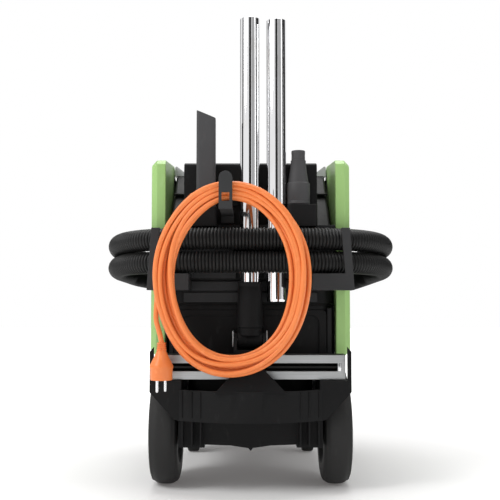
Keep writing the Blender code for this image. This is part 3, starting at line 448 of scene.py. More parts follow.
def pin_shape(across):
    """A round-nosed contact pin standing out of the plug's face."""
    profile = ((1.0, -0.0610), (1.0, -0.0800), (0.86, -0.0817), (0.5, -0.0827), (0.1, -0.0830))
    rings = [oval(PIN_R * share, PIN_R * share, z, count=20) for share, z in profile]
    shape = bmesh.new()
    skin(shape, rings)
    shape.transform(Matrix.Translation((across, 0, 0)))
    return shape


def nickel(name):
    """Bright plated metal with hair scratches."""
    finish = Finish(name, {"Metallic": 1.0})
    scratch = finish.noise(380.0, 3.0, (1, 1, 0.04))
    colour = finish.mixed(scratch, (0.60, 0.60, 0.61, 1), (0.78, 0.78, 0.78, 1))
    return finish.wear(colour, 0.16 + 0.18 * scratch, scratch, 0.00006)


plug_place = Matrix.Translation(PLUG_TOP) @ Matrix.Rotation(PLUG_TURN, 4, "Z")
shape = plug_shape()
shape.transform(plug_place)
mains_plug = riding(piece("mains_plug", shape, sheath), "head", "orange_sheath", "power_plug")
bright_nickel = nickel("bright_nickel")
SIDES = (("left", -1), ("right", 1))
for side, way in SIDES:
    shape = pin_shape(way * PIN_APART / 2)
    shape.transform(plug_place)
    riding(piece(f"plug_pin_{side}", shape, bright_nickel), "head", "steel")
round(length_of(cord_path), 2)


# ---- suction hose -------------------------------------------------------------------
# Blow-moulded black hose, ribbed every 6 mm, that goes twice round the machine. Its
# elbow plugs into the inlet and its other end holds the grip that the tubes push into.
HOSE_R = 0.0200
RIB_DEPTH = 0.0030
RIB_PITCH = 0.0060
HOSE_HALF = (0.260, 0.264)
HOSE_CENTRE_Y = 0.029
ELBOW_TILT = math.radians(30)
ELBOW_BEND = 0.031
ELBOW_END = 0.068
PORT = Vector((0, 0.250, 0.255))
HOSE_TURNS = (0.115, 1.900)
HOSE_LOW, HOSE_PITCH, HOSE_SAG = 0.3585, 0.0408, 0.037
GRIP = (Vector((-0.100, 0.2866, 0.4208)), Vector((0.105, 0.3030, 0.4370)))


def from_port(along, across):
    """A point in the elbow's plane: along the inlet's axis, and across along the tilt."""
    side = Vector((across * math.cos(ELBOW_TILT), 0, across * math.sin(ELBOW_TILT)))
    return PORT + Vector((0, 0.0263 + along, 0)) + side


def hose_level(turn):
    """The hose's height: it sags towards the front and climbs at each turn's end."""
    height = HOSE_LOW - HOSE_SAG * ((1 + math.cos(2 * math.pi * turn)) / 2) ** 2
    return height + sum(HOSE_PITCH * eased((turn - start) / 0.42) for start in (-0.20, 0.80, 1.80))


def hose_point(turn):
    """A point of the wound hose, whose turns are rounded squares in plan."""
    s, c = math.sin(2 * math.pi * turn), math.cos(2 * math.pi * turn)
    x = HOSE_HALF[0] * math.copysign(abs(s) ** (2 / 3), s)
    y = HOSE_HALF[1] * math.copysign(abs(c) ** (2 / 3), c)
    return Vector((x, HOSE_CENTRE_Y + y, hose_level(turn)))


def swept(name, points, radii, material, sides=28):
    """A closed tube along the points, with a radius for each of them."""
    axis = (points[1] - points[0]).normalized()
    across = axis.orthogonal().normalized()
    rings = []
    for k, point in enumerate(points):
        ahead = points[min(k + 1, len(points) - 1)] - points[max(k - 1, 0)]
        new_axis = ahead.normalized()
        across = (axis.rotation_difference(new_axis) @ across).normalized()
        axis = new_axis
        beside = axis.cross(across)
        turns = [2 * math.pi * m / sides for m in range(sides)]
        rings.append([point + radii[k] * (math.cos(t) * across + math.sin(t) * beside) for t in turns])
    shape = bmesh.new()
    skin(shape, rings)
    return piece(name, shape, material, 60)


def hose_rubber():
    """Dull black polyethylene, greyed with dust on its top."""
    finish = Finish("hose_plastic", {"Specular IOR Level": 0.28})
    cloud = finish.noise(14.0, 3.0)
    dust = finish.upward() * finish.noise(60.0, 3.0).within(0.35, 0.8)
    colour = finish.mixed(cloud, (0.004, 0.004, 0.004, 1), (0.008, 0.008, 0.008, 1))
    colour = finish.mixed(dust * 0.12, colour, (0.20, 0.19, 0.18, 1))
    return finish.wear(colour, 0.40 + 0.15 * cloud, finish.noise(700.0), 0.0001)


mouth = 0.004 + ELBOW_BEND
turns = [HOSE_TURNS[0] + (HOSE_TURNS[1] - HOSE_TURNS[0]) * k / 46 for k in range(47)]
grip_way = (GRIP[1] - GRIP[0]).normalized()
route = [from_port(mouth, ELBOW_END), from_port(mouth, ELBOW_END + 0.045)]
route += [hose_point(turn) for turn in turns]
route += [GRIP[0] - grip_way * 0.045, GRIP[0]]
hose_path = through(route, RIB_PITCH / 4)
hose_radii = [HOSE_R - RIB_DEPTH * (0.0, 0.28, 1.0, 0.28)[k % 4] for k in range(len(hose_path))]
hose_black = hose_rubber()
suction_hose = swept("suction_hose", hose_path, hose_radii, hose_black)
riding(suction_hose, "chassis", "hose_plastic", "hose")


# ---- hose ends ----------------------------------------------------------------------
# Two cuffs injection-moulded in black plastic: an elbow with grip ribs that plugs into
# the inlet, and a straight grip with a stop ring that takes the suction tubes.
def moulded(name, dark, light, rough=0.48, dusty=0.10, grain=0.00014):
    """Moulded plastic with a spark-eroded grain, scuffs, and dust where it faces up."""
    finish = Finish(name, {"Specular IOR Level": 0.10})
    cloud = finish.noise(7.0, 4.0)
    scuff = finish.noise(90.0, 5.0, (1, 1, 0.35)).within(0.62, 0.82)
    dust = finish.upward() * finish.noise(35.0, 4.0).within(0.30, 0.75)
    colour = finish.mixed(cloud, (*dark, 1), (*light, 1))
    colour = finish.mixed(scuff * 0.06, colour, (0.20, 0.20, 0.20, 1))
    colour = finish.mixed(dust * dusty, colour, (0.42, 0.40, 0.37, 1))
    roughness = rough + 0.14 * cloud - 0.07 + 0.14 * scuff + 0.2 * dusty * dust
    return finish.wear(colour, roughness, finish.noise(1100.0), grain)


black = moulded("black_plastic", (0.0080, 0.0080, 0.0082), (0.0130, 0.0130, 0.0134))
grey = moulded("grey_plastic", (0.060, 0.060, 0.062), (0.082, 0.082, 0.085))

elbow = [from_port(along, 0) for along in (0.0003, 0.0015, 0.003)]
for step in range(13):
    turn = math.radians(90 * step / 12)
    elbow.append(from_port(0.004 + ELBOW_BEND * math.sin(turn), ELBOW_BEND * (1 - math.cos(turn))))
elbow += [from_port(mouth, ELBOW_BEND + (ELBOW_END - 0.0008 - ELBOW_BEND) * k / 12) for k in range(1, 13)]
elbow_path = through(elbow, 0.0016)
elbow_radii = []
for k in range(len(elbow_path)):
    share = k / (len(elbow_path) - 1)
    grip_rib = 0.0010 if share > 0.62 and k % 4 < 2 else 0.0
    stop_ring = 0.0012 if share < 0.06 or share > 0.965 else 0.0
    elbow_radii.append(0.0206 + grip_rib + stop_ring)
hose_elbow = swept("hose_elbow", elbow_path, elbow_radii, black)
riding(hose_elbow, "chassis", "black_plastic", "hose_cuff")

long = (GRIP[1] - GRIP[0]).length
grip_profile = (
    (0.0008, 0.0200), (0.0014, 0.0212), (0.0050, 0.0214), (0.0056, 0.0206), (0.0090, 0.0206),
    (0.0096, 0.0214), (0.0130, 0.0214), (0.0136, 0.0206), (0.0170, 0.0206), (0.0176, 0.0214),
    (0.0400, 0.0208), (0.0700, 0.0192), (0.1000, 0.0186), (0.1400, 0.0186), (0.1500, 0.0190),
    (0.1506, 0.0204), (0.1560, 0.0204), (0.1566, 0.0188), (0.1900, 0.0182), (long - 0.0010, 0.0180),
    (long, 0.0172),
)
grip_points = [GRIP[0] + grip_way * along for along, _ in grip_profile]
hose_grip = swept("hose_hand_grip", grip_points, [radius for _, radius in grip_profile], black, 48)
riding(hose_grip, "chassis", "black_plastic", "hose_grip")
round(length_of(hose_path), 2)


# ---- suction tubes ------------------------------------------------------------------
# Two chromed steel tubes, 36 mm across with a 1.5 mm wall. Each is rolled from strip,
# has its rim turned in at the top, and is swaged a little smaller at its lower end.
def turned(name, profile, place, axis, material, sides=64, degrees=35):
    """A lathe shape from (radius, height) points that run round the section."""
    shape = bmesh.new()
    rings = []
    for radius, height in profile:
        turns = [2 * math.pi * k / sides for k in range(sides)]
        rings.append([(radius * math.cos(t), radius * math.sin(t), height) for t in turns])
    skin(shape, rings, closed=profile[0][0] > 0.0005)
    turn = Vector((0, 0, 1)).rotation_difference(Vector(axis)).to_matrix().to_4x4()
    shape.transform(Matrix.Translation(place) @ turn)
    return piece(name, shape, material, degrees)


def chromed():
    """Hard chrome, mirror bright, with handling marks that dull it in long streaks."""
    finish = Finish("chrome", {"Metallic": 1.0})
    streak = finish.noise(160.0, 3.0, (1, 1, 0.02))
    smear = finish.noise(18.0, 4.0).within(0.55, 0.80)
    colour = finish.mixed(smear, (0.80, 0.80, 0.81, 1), (0.71, 0.70, 0.69, 1))
    return finish.wear(colour, 0.035 + 0.04 * streak + 0.09 * smear, streak, 0.00002)


TUBE_R = 0.018
TUBE_WALL = 0.0015
chrome = chromed()
for side in ("left", "right"):
    low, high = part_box(f"suction_tube_{side}")
    centre = ((low.x + high.x) / 2, (low.y + high.y) / 2, 0)
    foot = ((-TUBE_WALL, 0), (-0.0006, 0), (-0.0003, 0.002), (0, 0.004))
    outside = [(TUBE_R + out, low.z + up) for out, up in foot]
    half = TUBE_WALL / 2
    rim = [
        (TUBE_R - half + half * math.cos(t), high.z - half + half * math.sin(t))
        for t in (math.pi * k / 6 for k in range(7))
    ]
    tube = turned(f"chrome_tube_{side}", [*outside, *rim], centre, (0, 0, 1), chrome, 96, 50)
    riding(tube, f"suction_tube_{side}", "chrome", f"suction_tube_{side}")


# ---- small tools --------------------------------------------------------------------
# The crevice tool and the power-tool adapter, injection-moulded in dark grey plastic.
# Each stands by its round spigot in a cup on the rack.
CREVICE_X, TOOL_Y = -0.0805, -0.190
SLANT_Z, SLANT = 0.6686, 0.42


def crevice_shape():
    """A flattened tube that is cut off at a slant, over its collar and spigot."""
    rings = []
    for z, a, b, square in (
        (0.4702, 0.0166, 0.0166, 2.0),
        (0.4710, 0.0170, 0.0170, 2.0),
        (0.5010, 0.0170, 0.0170, 2.0),
        (0.5014, 0.0172, 0.0165, 2.4),
        (0.5030, 0.0174, 0.0150, 3.2),
        (0.5180, 0.0175, 0.0118, 5.0),
        (0.6500, 0.0173, 0.0112, 6.0),
    ):
        rings.append(oval(a, b, z, square, 48))
    cut = [Vector((p.x, p.y, SLANT_Z - SLANT * p.x)) for p in oval(0.0172, 0.0112, 0, 6.0, 48)]
    lip = [Vector((p.x, p.y, SLANT_Z - SLANT * p.x)) for p in oval(0.0150, 0.0090, 0, 6.0, 48)]
    inside = [Vector((p.x, p.y, 0.560)) for p in oval(0.0145, 0.0085, 0, 5.0, 48)]
    shape = bmesh.new()
    skin(shape, [*rings, cut, lip, inside])
    shape.transform(Matrix.Translation((CREVICE_X, TOOL_Y, 0)))
    return shape


tool_grey = moulded("tool_grey", (0.052, 0.052, 0.054), (0.072, 0.072, 0.074), 0.44)
crevice = piece("crevice_nozzle", crevice_shape(), tool_grey)
riding(crevice, "crevice_tool", "grey_plastic", "crevice_tool")

low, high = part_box("tool_adapter")
adapter_x = (low.x + high.x) / 2
adapter_profile = [
    (0.0004, 0.5300), (0.0004, 0.4704), (0.0164, 0.4704), (0.0169, 0.4712), (0.0169, 0.5046),
    (0.0203, 0.5048), (0.0209, 0.5056), (0.0209, 0.5100), (0.0205, 0.5106), (0.0205, 0.5114),
    (0.0209, 0.5120), (0.0209, 0.5422), (0.0202, 0.5432), (0.0186, 0.5446), (0.0158, 0.5620),
    (0.0136, 0.5814), (0.0138, 0.5822), (0.0138, 0.5846), (0.0124, 0.5852), (0.0122, 0.5960),
    (0.0125, 0.5968), (0.0125, 0.6014), (0.0118, 0.6026), (0.0104, 0.6026), (0.0100, 0.6018),
    (0.0100, 0.5300),
]
adapter = turned("power_tool_adapter", adapter_profile, (adapter_x, TOOL_Y, 0), (0, 0, 1), tool_grey, 64)
riding(adapter, "tool_adapter", "grey_plastic", "tool_adapter")


# ---- rear rack ----------------------------------------------------------------------
# A grey moulding screwed across the rails, whose upturned arms hold the hose. Two black
# cups for the tools and a twin clip for the tubes are screwed to it.
def edge_radii(part, width, segments=2, degrees=30):
    """Small radii on a piece's sharp edges, shaded smoothly into its flat faces."""
    bevel = part.modifiers.new("Edges", "BEVEL")
    bevel.width = width
    bevel.segments = segments
    bevel.limit_method = "ANGLE"
    bevel.angle_limit = math.radians(degrees)
    part.modifiers.new("Shading", "WEIGHTED_NORMAL").keep_sharp = True


def eased_edges(node, width, material, segments=2, degrees=30):
    """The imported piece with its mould's small edge radii, and with its finish."""
    part = nodes[node]
    weld = part.modifiers.new("Weld", "WELD")
    weld.merge_threshold = 0.00001
    flatten = part.modifiers.new("Flatten", "DECIMATE")
    flatten.decimate_type = "DISSOLVE"
    flatten.angle_limit = math.radians(0.5)
    edge_radii(part, width, segments, degrees)
    part.data.shade_smooth()
    part.data.materials.clear()
    part.data.materials.append(material)


def screw(name, place, axis, body, radius=0.0038):
    """A pan-head screw with a star recess, its head standing on the surface."""
    rings = []
    profile = ((1, 0, 0), (1, 0.0006, 0), (0.86, 0.0016, 0), (0.45, 0.0020, 0.16), (0.42, 0.0008, 0.16))
    for share, height, lobes in profile:
        ring = []
        for k in range(36):
            t = 2 * math.pi * k / 36
            reach = radius * share * (1 + lobes * math.cos(6 * t))
            ring.append((reach * math.cos(t), reach * math.sin(t), height))
        rings.append(ring)
    shape = bmesh.new()
    skin(shape, rings)
    turn = Vector((0, 0, 1)).rotation_difference(Vector(axis)).to_matrix().to_4x4()
    shape.transform(Matrix.Translation(place) @ turn)
    return riding(piece(name, shape, zinc), body, "steel")


zinc = nickel("zinc_plate")
rack_grey = moulded("rack_grey", (0.030, 0.0305, 0.0315), (0.044, 0.0445, 0.046), 0.46)
eased_edges("rear_rack", 0.0012, rack_grey)
for side in ("left", "right"):
    eased_edges(f"tool_cup_{side}", 0.0010, black)
eased_edges("tube_clip", 0.0012, black)
RACK_BACK = -0.1695
for number, x in enumerate((-0.1400, -0.1180, 0.1180, 0.1400)):
    screw(f"rack_screw_{number}", (x, RACK_BACK, 0.4610), (0, -1, 0), "chassis")


# ---- floor nozzle -------------------------------------------------------------------
# The floor nozzle parked on edge behind the bumper: a black housing, a brushed metal
# glide frame with bright end links, a rubber lip, and a neck held by a spring clip.
def brushed(name, along=(0.02, 1, 1)):
    """Brushed sheet metal, its hair lines running along one way."""
    finish = Finish(name, {"Metallic": 1.0})
    line = finish.noise(420.0, 4.0, along)
    cloud = finish.noise(12.0, 3.0)
    colour = finish.mixed(line, (0.34, 0.35, 0.355, 1), (0.56, 0.57, 0.575, 1))
    colour = finish.mixed(cloud.within(0.5, 0.8) * 0.4, colour, (0.40, 0.40, 0.39, 1))
    return finish.wear(colour, 0.26 + 0.18 * line, line, 0.00005)


neck_low, neck_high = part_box("nozzle_neck")
neck_x = (neck_low.x + neck_high.x) / 2
eased_edges("nozzle_body", 0.0014, black)
eased_edges("nozzle_sole", 0.0004, brushed("brushed_sole"))
eased_edges("nozzle_lip", 0.0004, moulded("lip_rubber", (0.010, 0.010, 0.010), (0.020, 0.020, 0.020), 0.7))
eased_edges("elbow_clip", 0.0003, brushed("spring_steel"))
neck_profile = [
    (0.0004, 0.2690), (0.0215, 0.2690), (0.0224, 0.2700), (0.0224, 0.2810), (0.0218, 0.2818),
    (0.0218, 0.2828), (0.0237, 0.2842), (0.0237, 0.2896), (0.0232, 0.2910), (0.0226, 0.3120),
    (0.0221, 0.3375), (0.0219, 0.3400), (0.0219, 0.3560), (0.0216, 0.3566), (0.0216, 0.3574),
    (0.0219, 0.3580), (0.0219, 0.3640), (0.0213, 0.3648), (0.0186, 0.3648), (0.01835, 0.3640),
    (0.01835, 0.3116), (0.0004, 0.3116),
]
neck_sleeve = turned("nozzle_neck_sleeve", neck_profile, (neck_x, TOOL_Y, 0), (0, 0, 1), black, 64)
riding(neck_sleeve, "nozzle_neck", "black_plastic", "nozzle_neck")
knuckle_profile = [
    (0.0004, -0.0224), (0.0146, -0.0224), (0.0158, -0.0212), (0.0158, -0.0060), (0.0150, -0.0052),
    (0.0150, 0.0052), (0.0158, 0.0060), (0.0158, 0.0212), (0.0146, 0.0224), (0.0004, 0.0224),
]
knuckle = turned("nozzle_knuckle", knuckle_profile, (neck_x, TOOL_Y, 0.262), (1, 0, 0), black, 48)
riding(knuckle, "nozzle_neck", "black_plastic")


def bar(name, place, size, material, body, slot, edge=0.0008):
    """A straight strip with eased edges, moving with a body."""
    shape = bmesh.new()
    bmesh.ops.create_cube(shape, size=1.0, matrix=Matrix.Translation(place) @ Matrix.Diagonal((*size, 1)))
    bmesh.ops.bevel(shape, geom=shape.edges, offset=edge, segments=2, profile=0.5, affect="EDGES")
    return riding(piece(name, shape, material), body, slot)


LINK_SIZE = (0.0060, 0.0024, 0.0138)
for side, way in SIDES:
    bar(f"sole_link_{side}", (way * 0.1545, -0.2396, 0.2165), LINK_SIZE, zinc, "nozzle_head", "steel")


# ---- chassis ------------------------------------------------------------------------
# One large moulding in black polypropylene: the deck, the curved rear bumper with its
# ribs, the wheel arches and wings, and the brackets that carry the steel rear axle.
chassis_black = moulded(
    "chassis_black", (0.0065, 0.0065, 0.0068), (0.0110, 0.0110, 0.0114), 0.46, 0.08, 0.0002
)
eased_edges("chassis", 0.0014, chassis_black)
eased_edges("rear_axle", 0.0006, zinc)
BUMPER_BACK, BUMPER_DEPTH, BUMPER_HALF = -0.290, 0.040, 0.127
BUMPER_RIB = (0.0022, 0.0028, 0.0450)
for number, x in enumerate((-0.1170, -0.1000, -0.0850, 0.0850, 0.1000, 0.1170)):
    place = (x, BUMPER_BACK + BUMPER_DEPTH * (x / BUMPER_HALF) ** 2, 0.1550)
    bar(f"bumper_rib_{number}", place, BUMPER_RIB, chassis_black, "chassis", "black_plastic")


# ---- rear wheels --------------------------------------------------------------------
# Two 196 mm wheels blow-moulded in black plastic with a crowned tread, a dished outer
# face with ten spokes, and a pressed steel cap that holds each on the axle.
def crowned(half, wide, crown, steps=14):
    """The tread's section from the inner shoulder to the outer one."""
    points = []
    for k in range(steps + 1):
        share = k / steps
        off = 2 * share - 1
        points.append((half - crown * off**4 - 0.0010 * off**2, SHOULDER + (wide - 2 * SHOULDER) * share))
    return points


WHEEL_R = 0.098
SHOULDER = 0.006
wheel_black = moulded(
    "wheel_black", (0.0220, 0.0220, 0.0222), (0.0340, 0.0335, 0.0330), 0.50, 0.08, 0.0003
)
spoke_size = Matrix.Diagonal((0.0090, 0.0050, 0.0440, 1))
cap_profile = [(0.0004, 0.0), (0.0115, 0.0), (0.0120, 0.0008), (0.0112, 0.0020)]
cap_profile += [(0.0075, 0.0026), (0.0062, 0.0040), (0.0004, 0.0046)]
for side, way in SIDES:
    low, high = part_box(f"wheel_{side}")
    wide = high.x - low.x
    hub = Vector((low.x if way > 0 else high.x, (low.y + high.y) / 2, (low.z + high.z) / 2))
    profile = [
        (0.0064, 0.0006), (0.0180, 0.0006), (0.0200, 0.0020), (0.0220, 0.0080), (0.0560, 0.0080),
        (0.0600, 0.0040), (0.0640, 0.0006), (0.0780, 0.0004), (0.0830, 0.0004), (0.0885, 0.0018),
        (0.0925, 0.0044), *crowned(WHEEL_R, wide, 0.0040),
        (0.0915, wide - 0.0024), (0.0865, wide - 0.0004), (0.0790, wide - 0.0001), (0.0770, wide - 0.0010),
        (0.0745, wide - 0.0060), (0.0720, wide - 0.0110), (0.0320, wide - 0.0120), (0.0290, wide - 0.0095),
        (0.0265, wide - 0.0030), (0.0250, wide - 0.0018), (0.0064, wide - 0.0018),
    ]
    wheel = turned(f"rear_wheel_{side}", profile, hub, (way, 0, 0), wheel_black, 128, 28)
    riding(wheel, f"wheel_{side}", "black_plastic", f"wheel_{side}")
    shape = bmesh.new()
    for spoke in range(10):
        turn = Matrix.Rotation(2 * math.pi * spoke / 10, 4, "X")
        reach = Matrix.Translation((way * (wide - 0.0090), 0, 0.0525))
        place = Matrix.Translation(hub) @ turn @ reach @ spoke_size
        bmesh.ops.create_cube(shape, size=1.0, matrix=place)
    bmesh.ops.bevel(shape, geom=shape.edges, offset=0.0012, segments=2, profile=0.5, affect="EDGES")
    riding(piece(f"wheel_spokes_{side}", shape, wheel_black), f"wheel_{side}", "black_plastic")
    cap_place = hub + Vector((way * (wide - 0.0014), 0, 0))
    cap = turned(f"axle_cap_{side}", cap_profile, cap_place, (way, 0, 0), zinc, 48)
    riding(cap, f"wheel_{side}", "steel")


# ---- front casters ------------------------------------------------------------------
# Swivel casters under the front corners: a grey hood on a stem, a solid rubber tyre on
# a riveted pin, and a rubber-faced pedal that brakes it.
caster_rubber = moulded("caster_rubber", (0.014, 0.014, 0.014), (0.030, 0.030, 0.029), 0.66, 0.1, 0.0003)
for side, way in SIDES:
    eased_edges(f"caster_fork_{side}", 0.0012, grey)
    eased_edges(f"caster_brake_{side}", 0.0010, caster_rubber)
    low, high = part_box(f"caster_wheel_{side}")
    centre = (low + high) / 2
    half, radius = (high.x - low.x) / 2, (high.z - low.z) / 2
    tyre_profile = [
        (0.0045, -half), (0.0110, -half), (0.0125, -half + 0.0020), (0.0230, -half + 0.0024),
        (0.0250, -half), (0.0335, -half), (0.0362, -half + 0.0014), (radius - 0.0001, -half + 0.0050),
        (radius, 0.0), (radius - 0.0001, half - 0.0050), (0.0362, half - 0.0014), (0.0335, half),
        (0.0250, half), (0.0230, half - 0.0024), (0.0125, half - 0.0020), (0.0110, half), (0.0045, half),
    ]
    tyre = turned(f"caster_tyre_{side}", tyre_profile, centre, (1, 0, 0), caster_rubber, 64, 30)
    riding(tyre, f"caster_wheel_{side}", "black_rubber", f"caster_wheel_{side}")


# ---- tank ---------------------------------------------------------------------------
# The dust tank, one deep black moulding with a raised frame round its rear face. Its
# rim carries a foam-rubber gasket, and its front a flanged socket for the hose.
def slab(name, outline, depth, material, edge, hole=None):
    """An upright plate from its outline, with an opening if it has one, and eased edges."""
    shape = bmesh.new()
    rims = []
    for line in (outline, hole):
        if line is None:
            continue
        near = [shape.verts.new((x, depth[0], z)) for x, z in line]
        far = [shape.verts.new((x, depth[1], z)) for x, z in line]
        for k in range(len(line)):
            m = (k + 1) % len(line)
            shape.faces.new((near[k], near[m], far[m], far[k]))
        rims.append((near, far))
    for end in (0, 1):
        if hole is None:
            shape.faces.new(rims[0][end])
        else:
            outer, inner = rims[0][end], rims[1][end]
            for k in range(len(outer)):
                m = (k + 1) % len(outer)
                shape.faces.new((outer[k], outer[m], inner[m], inner[k]))
    made = piece(name, shape, material, 30)
    edge_radii(made, edge)
    return made


def trim(name, x, z, depth, material, edge, body, slot):
    """A rectangular plate that moves with a body."""
    outline = [(x[0], z[0]), (x[1], z[0]), (x[1], z[1]), (x[0], z[1])]
    return riding(slab(name, outline, depth, material, edge), body, slot)


def round_corners(x, z, radius, steps=6):
    """A rectangle's outline with round corners."""
    points = []
    corners = ((x[1], z[1], -1, -1), (x[0], z[1], 1, -1), (x[0], z[0], 1, 1), (x[1], z[0], -1, 1))
    for quarter, (cx, cz, sx, sz) in enumerate(corners):
        for step in range(steps + 1):
            turn = math.radians(90 * (quarter + step / steps))
            across, up = radius * math.cos(turn), radius * math.sin(turn)
            points.append((cx + sx * radius + across, cz + sz * radius + up))
    return points


tank_black = moulded("tank_black", (0.0080, 0.0080, 0.0083), (0.0130, 0.0130, 0.0134), 0.42, 0.06)
seal_rubber = moulded("seal_rubber", (0.006, 0.006, 0.006), (0.011, 0.011, 0.011), 0.75)
eased_edges("tank", 0.0016, tank_black)
eased_edges("tank_seal", 0.0004, seal_rubber)
eased_edges("inlet_port", 0.0006, grey)
tank_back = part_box("tank")[0].y
frame_outer = round_corners((-0.1385, 0.1385), (0.2140, 0.3150), 0.010)
frame_inner = round_corners((-0.1250, 0.1250), (0.2200, 0.3040), 0.014)
depth = (tank_back - 0.0026, tank_back + 0.0006)
rear_frame = slab("tank_rear_frame", frame_outer, depth, tank_black, 0.0010, frame_inner)
riding(rear_frame, "chassis", "black_plastic")
tank_grey = moulded("tank_grey", (0.014, 0.014, 0.0145), (0.022, 0.022, 0.023), 0.46)
for side, way in SIDES:
    x = (way * 0.1400, way * 0.1480)
    depth = (tank_back - 0.0018, tank_back + 0.0200)
    trim(f"tank_edge_{side}", x, (0.2140, 0.3180), depth, tank_grey, 0.0008, "chassis", "grey_plastic")
    x, depth = (way * 0.1496, way * 0.1510), (-0.120, 0.070)
    for number, z in enumerate((0.2300, 0.2520, 0.2740, 0.2960)):
        rib = f"tank_side_rib_{side}_{number}"
        trim(rib, x, (z, z + 0.004), depth, tank_black, 0.0004, "chassis", "black_plastic")


# ---- side rails ---------------------------------------------------------------------
# The two bright green cheeks, gas-assisted mouldings with a broad chamfer along their
# outer edge and a finely stippled satin finish. Black webs close the gaps inside them.
def green_moulding():
    """Green polypropylene, a shade uneven, with pale scuffs on its edges."""
    finish = Finish("green_plastic", {"Specular IOR Level": 0.5})
    cloud = finish.noise(6.0, 3.0)
    scuff = finish.noise(70.0, 5.0, (1, 1, 0.4)).within(0.62, 0.80)
    colour = finish.mixed(cloud, (0.280, 0.475, 0.150, 1), (0.325, 0.525, 0.190, 1))
    colour = finish.mixed(scuff * 0.25, colour, (0.52, 0.66, 0.40, 1))
    return finish.wear(colour, 0.34 + 0.12 * cloud + 0.12 * scuff, finish.noise(1000.0), 0.00012)


green = green_moulding()
for side, way in SIDES:
    eased_edges(f"rail_{side}", 0.0014, green)
    inner, outer = way * 0.1508, way * 0.1551
    web = [(inner, 0.370), (outer, 0.370), (outer, 0.580), (inner, 0.574)]
    made = slab(f"rail_web_{side}", web, (0.006, 0.010), tank_black, 0.0004)
    riding(made, "chassis", "black_plastic")
    place, size = (way * 0.1525, -0.133, 0.2690), (0.0052, 0.0040, 0.1060)
    bar(f"rail_foot_web_{side}", place, size, tank_black, "chassis", "black_plastic", 0.0004)


# ---- head ---------------------------------------------------------------------------
# The motor head: a black base with two grey bands round its back, a black shell with a
# ledge on each shoulder, coloured grey as a painted highlight, and a raised louvred cover
# down the middle of its back.
head_black = moulded("head_black", (0.0080, 0.0080, 0.0083), (0.0130, 0.0130, 0.0134), 0.44)
panel_black = moulded("panel_black", (0.0090, 0.0090, 0.0092), (0.0145, 0.0145, 0.0148), 0.38)
eased_edges("head_base", 0.0014, head_black)
eased_edges("head_shell", 0.0010, head_black)
eased_edges("rear_panel", 0.0010, panel_black)
base_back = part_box("head_base")[0].y
for name, z, out in (("lower", (0.3290, 0.3462), 0.0014), ("upper", (0.3500, 0.3668), 0.0024)):
    depth = (base_back - out, base_back + 0.0006)
    trim(f"head_band_{name}", (-0.1220, 0.1220), z, depth, rack_grey, 0.0008, "head", "grey_plastic")
panel_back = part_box("rear_panel")[0].y
depth = (panel_back - 0.0020, panel_back + 0.0006)
for number, z in enumerate((0.3860, 0.4000, 0.4140, 0.4280, 0.4420)):
    for side, way in SIDES:
        x, louvre = (way * 0.0860, way * 0.1160), f"rear_louvre_{side}_{number}"
        trim(louvre, x, (z, z + 0.0050), depth, panel_black, 0.0006, "head", "black_plastic")
LEDGE_Z = (0.5370, 0.5400)
SLOPE_FROM, SLOPE_TO = (-0.152, 0.462), (-0.004, 0.583)
climbed = (LEDGE_Z[0] - SLOPE_FROM[1]) / (SLOPE_TO[1] - SLOPE_FROM[1])
slope_y = SLOPE_FROM[0] + climbed * (SLOPE_TO[0] - SLOPE_FROM[0])
# Each ledge is real, but it takes the rack's grey: a painted highlight along the shoulder's edge.
for side, way in SIDES:
    x, depth = (way * 0.1232, way * 0.1497), (slope_y - 0.0090, slope_y + 0.0010)
    trim(f"head_ledge_painted_highlight_{side}", x, LEDGE_Z, depth, rack_grey, 0.0006, "head", "grey_plastic")


# ---- top cover ----------------------------------------------------------------------
# The light grey lid, screwed down over the shell, and the dark folding handle that is
# pinned between two lugs on its deck.
lid_grey = moulded("light_grey_plastic", (0.50, 0.50, 0.51), (0.58, 0.58, 0.59), 0.42, 0.05)
eased_edges("top_cover", 0.0010, lid_grey)
eased_edges("handle", 0.0024, rack_grey, 3)
LID_DECK = 0.5865
for number, (x, y) in enumerate(((-0.100, 0.2080), (0.100, 0.2080), (-0.106, 0.0080), (0.106, 0.0080))):
    screw(f"lid_screw_{number}", (x, y, LID_DECK), (0, 0, 1), "head", 0.0036)


# ---- cord hook and gland ------------------------------------------------------------
# The grey hook that the cord hangs on, bolted to the rear cover, and the black nut and
# tapered rubber sleeve where the cord comes out of it.
eased_edges("cord_hook", 0.0012, rack_grey, 3)
gland_low, gland_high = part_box("cord_gland")
gland_profile = [
    (0.0046, 0.0006), (0.0106, 0.0006), (0.0110, 0.0014), (0.0110, 0.0086), (0.0104, 0.0098),
    (0.0082, 0.0102),
]
for ring in range(7):
    reach, wide = 0.0108 + 0.0036 * ring, 0.0074 - 0.00022 * ring
    groove = wide - 0.0012
    gland_profile += [(wide, reach), (wide, reach + 0.0020)]
    gland_profile += [(groove, reach + 0.0025), (groove, reach + 0.0031)]
gland_profile += [(0.0058, 0.0364), (0.0046, 0.0367)]
gland_root = Vector(((gland_low.x + gland_high.x) / 2, gland_high.y, (gland_low.z + gland_high.z) / 2))
gland = turned("cord_sleeve", gland_profile, gland_root, (0, -1, 0), caster_rubber, 40)
riding(gland, "head", "black_rubber", "cord_gland")


# ---- control panel ------------------------------------------------------------------
# The sloping front plate with the mode switch, the suction dial, the green button that
# shakes the filters, and the appliance socket behind its sprung lid.
SLOPE_FOOT, SLOPE_HEAD = Vector((0, 0.250, 0.470)), Vector((0, 0.222, 0.583))
SLOPE_UP = (SLOPE_HEAD - SLOPE_FOOT).normalized()
SLOPE_OUT = Vector((0, SLOPE_UP.z, -SLOPE_UP.y))
PANEL_FACE = 0.0045
TICK_THICK = 0.0002


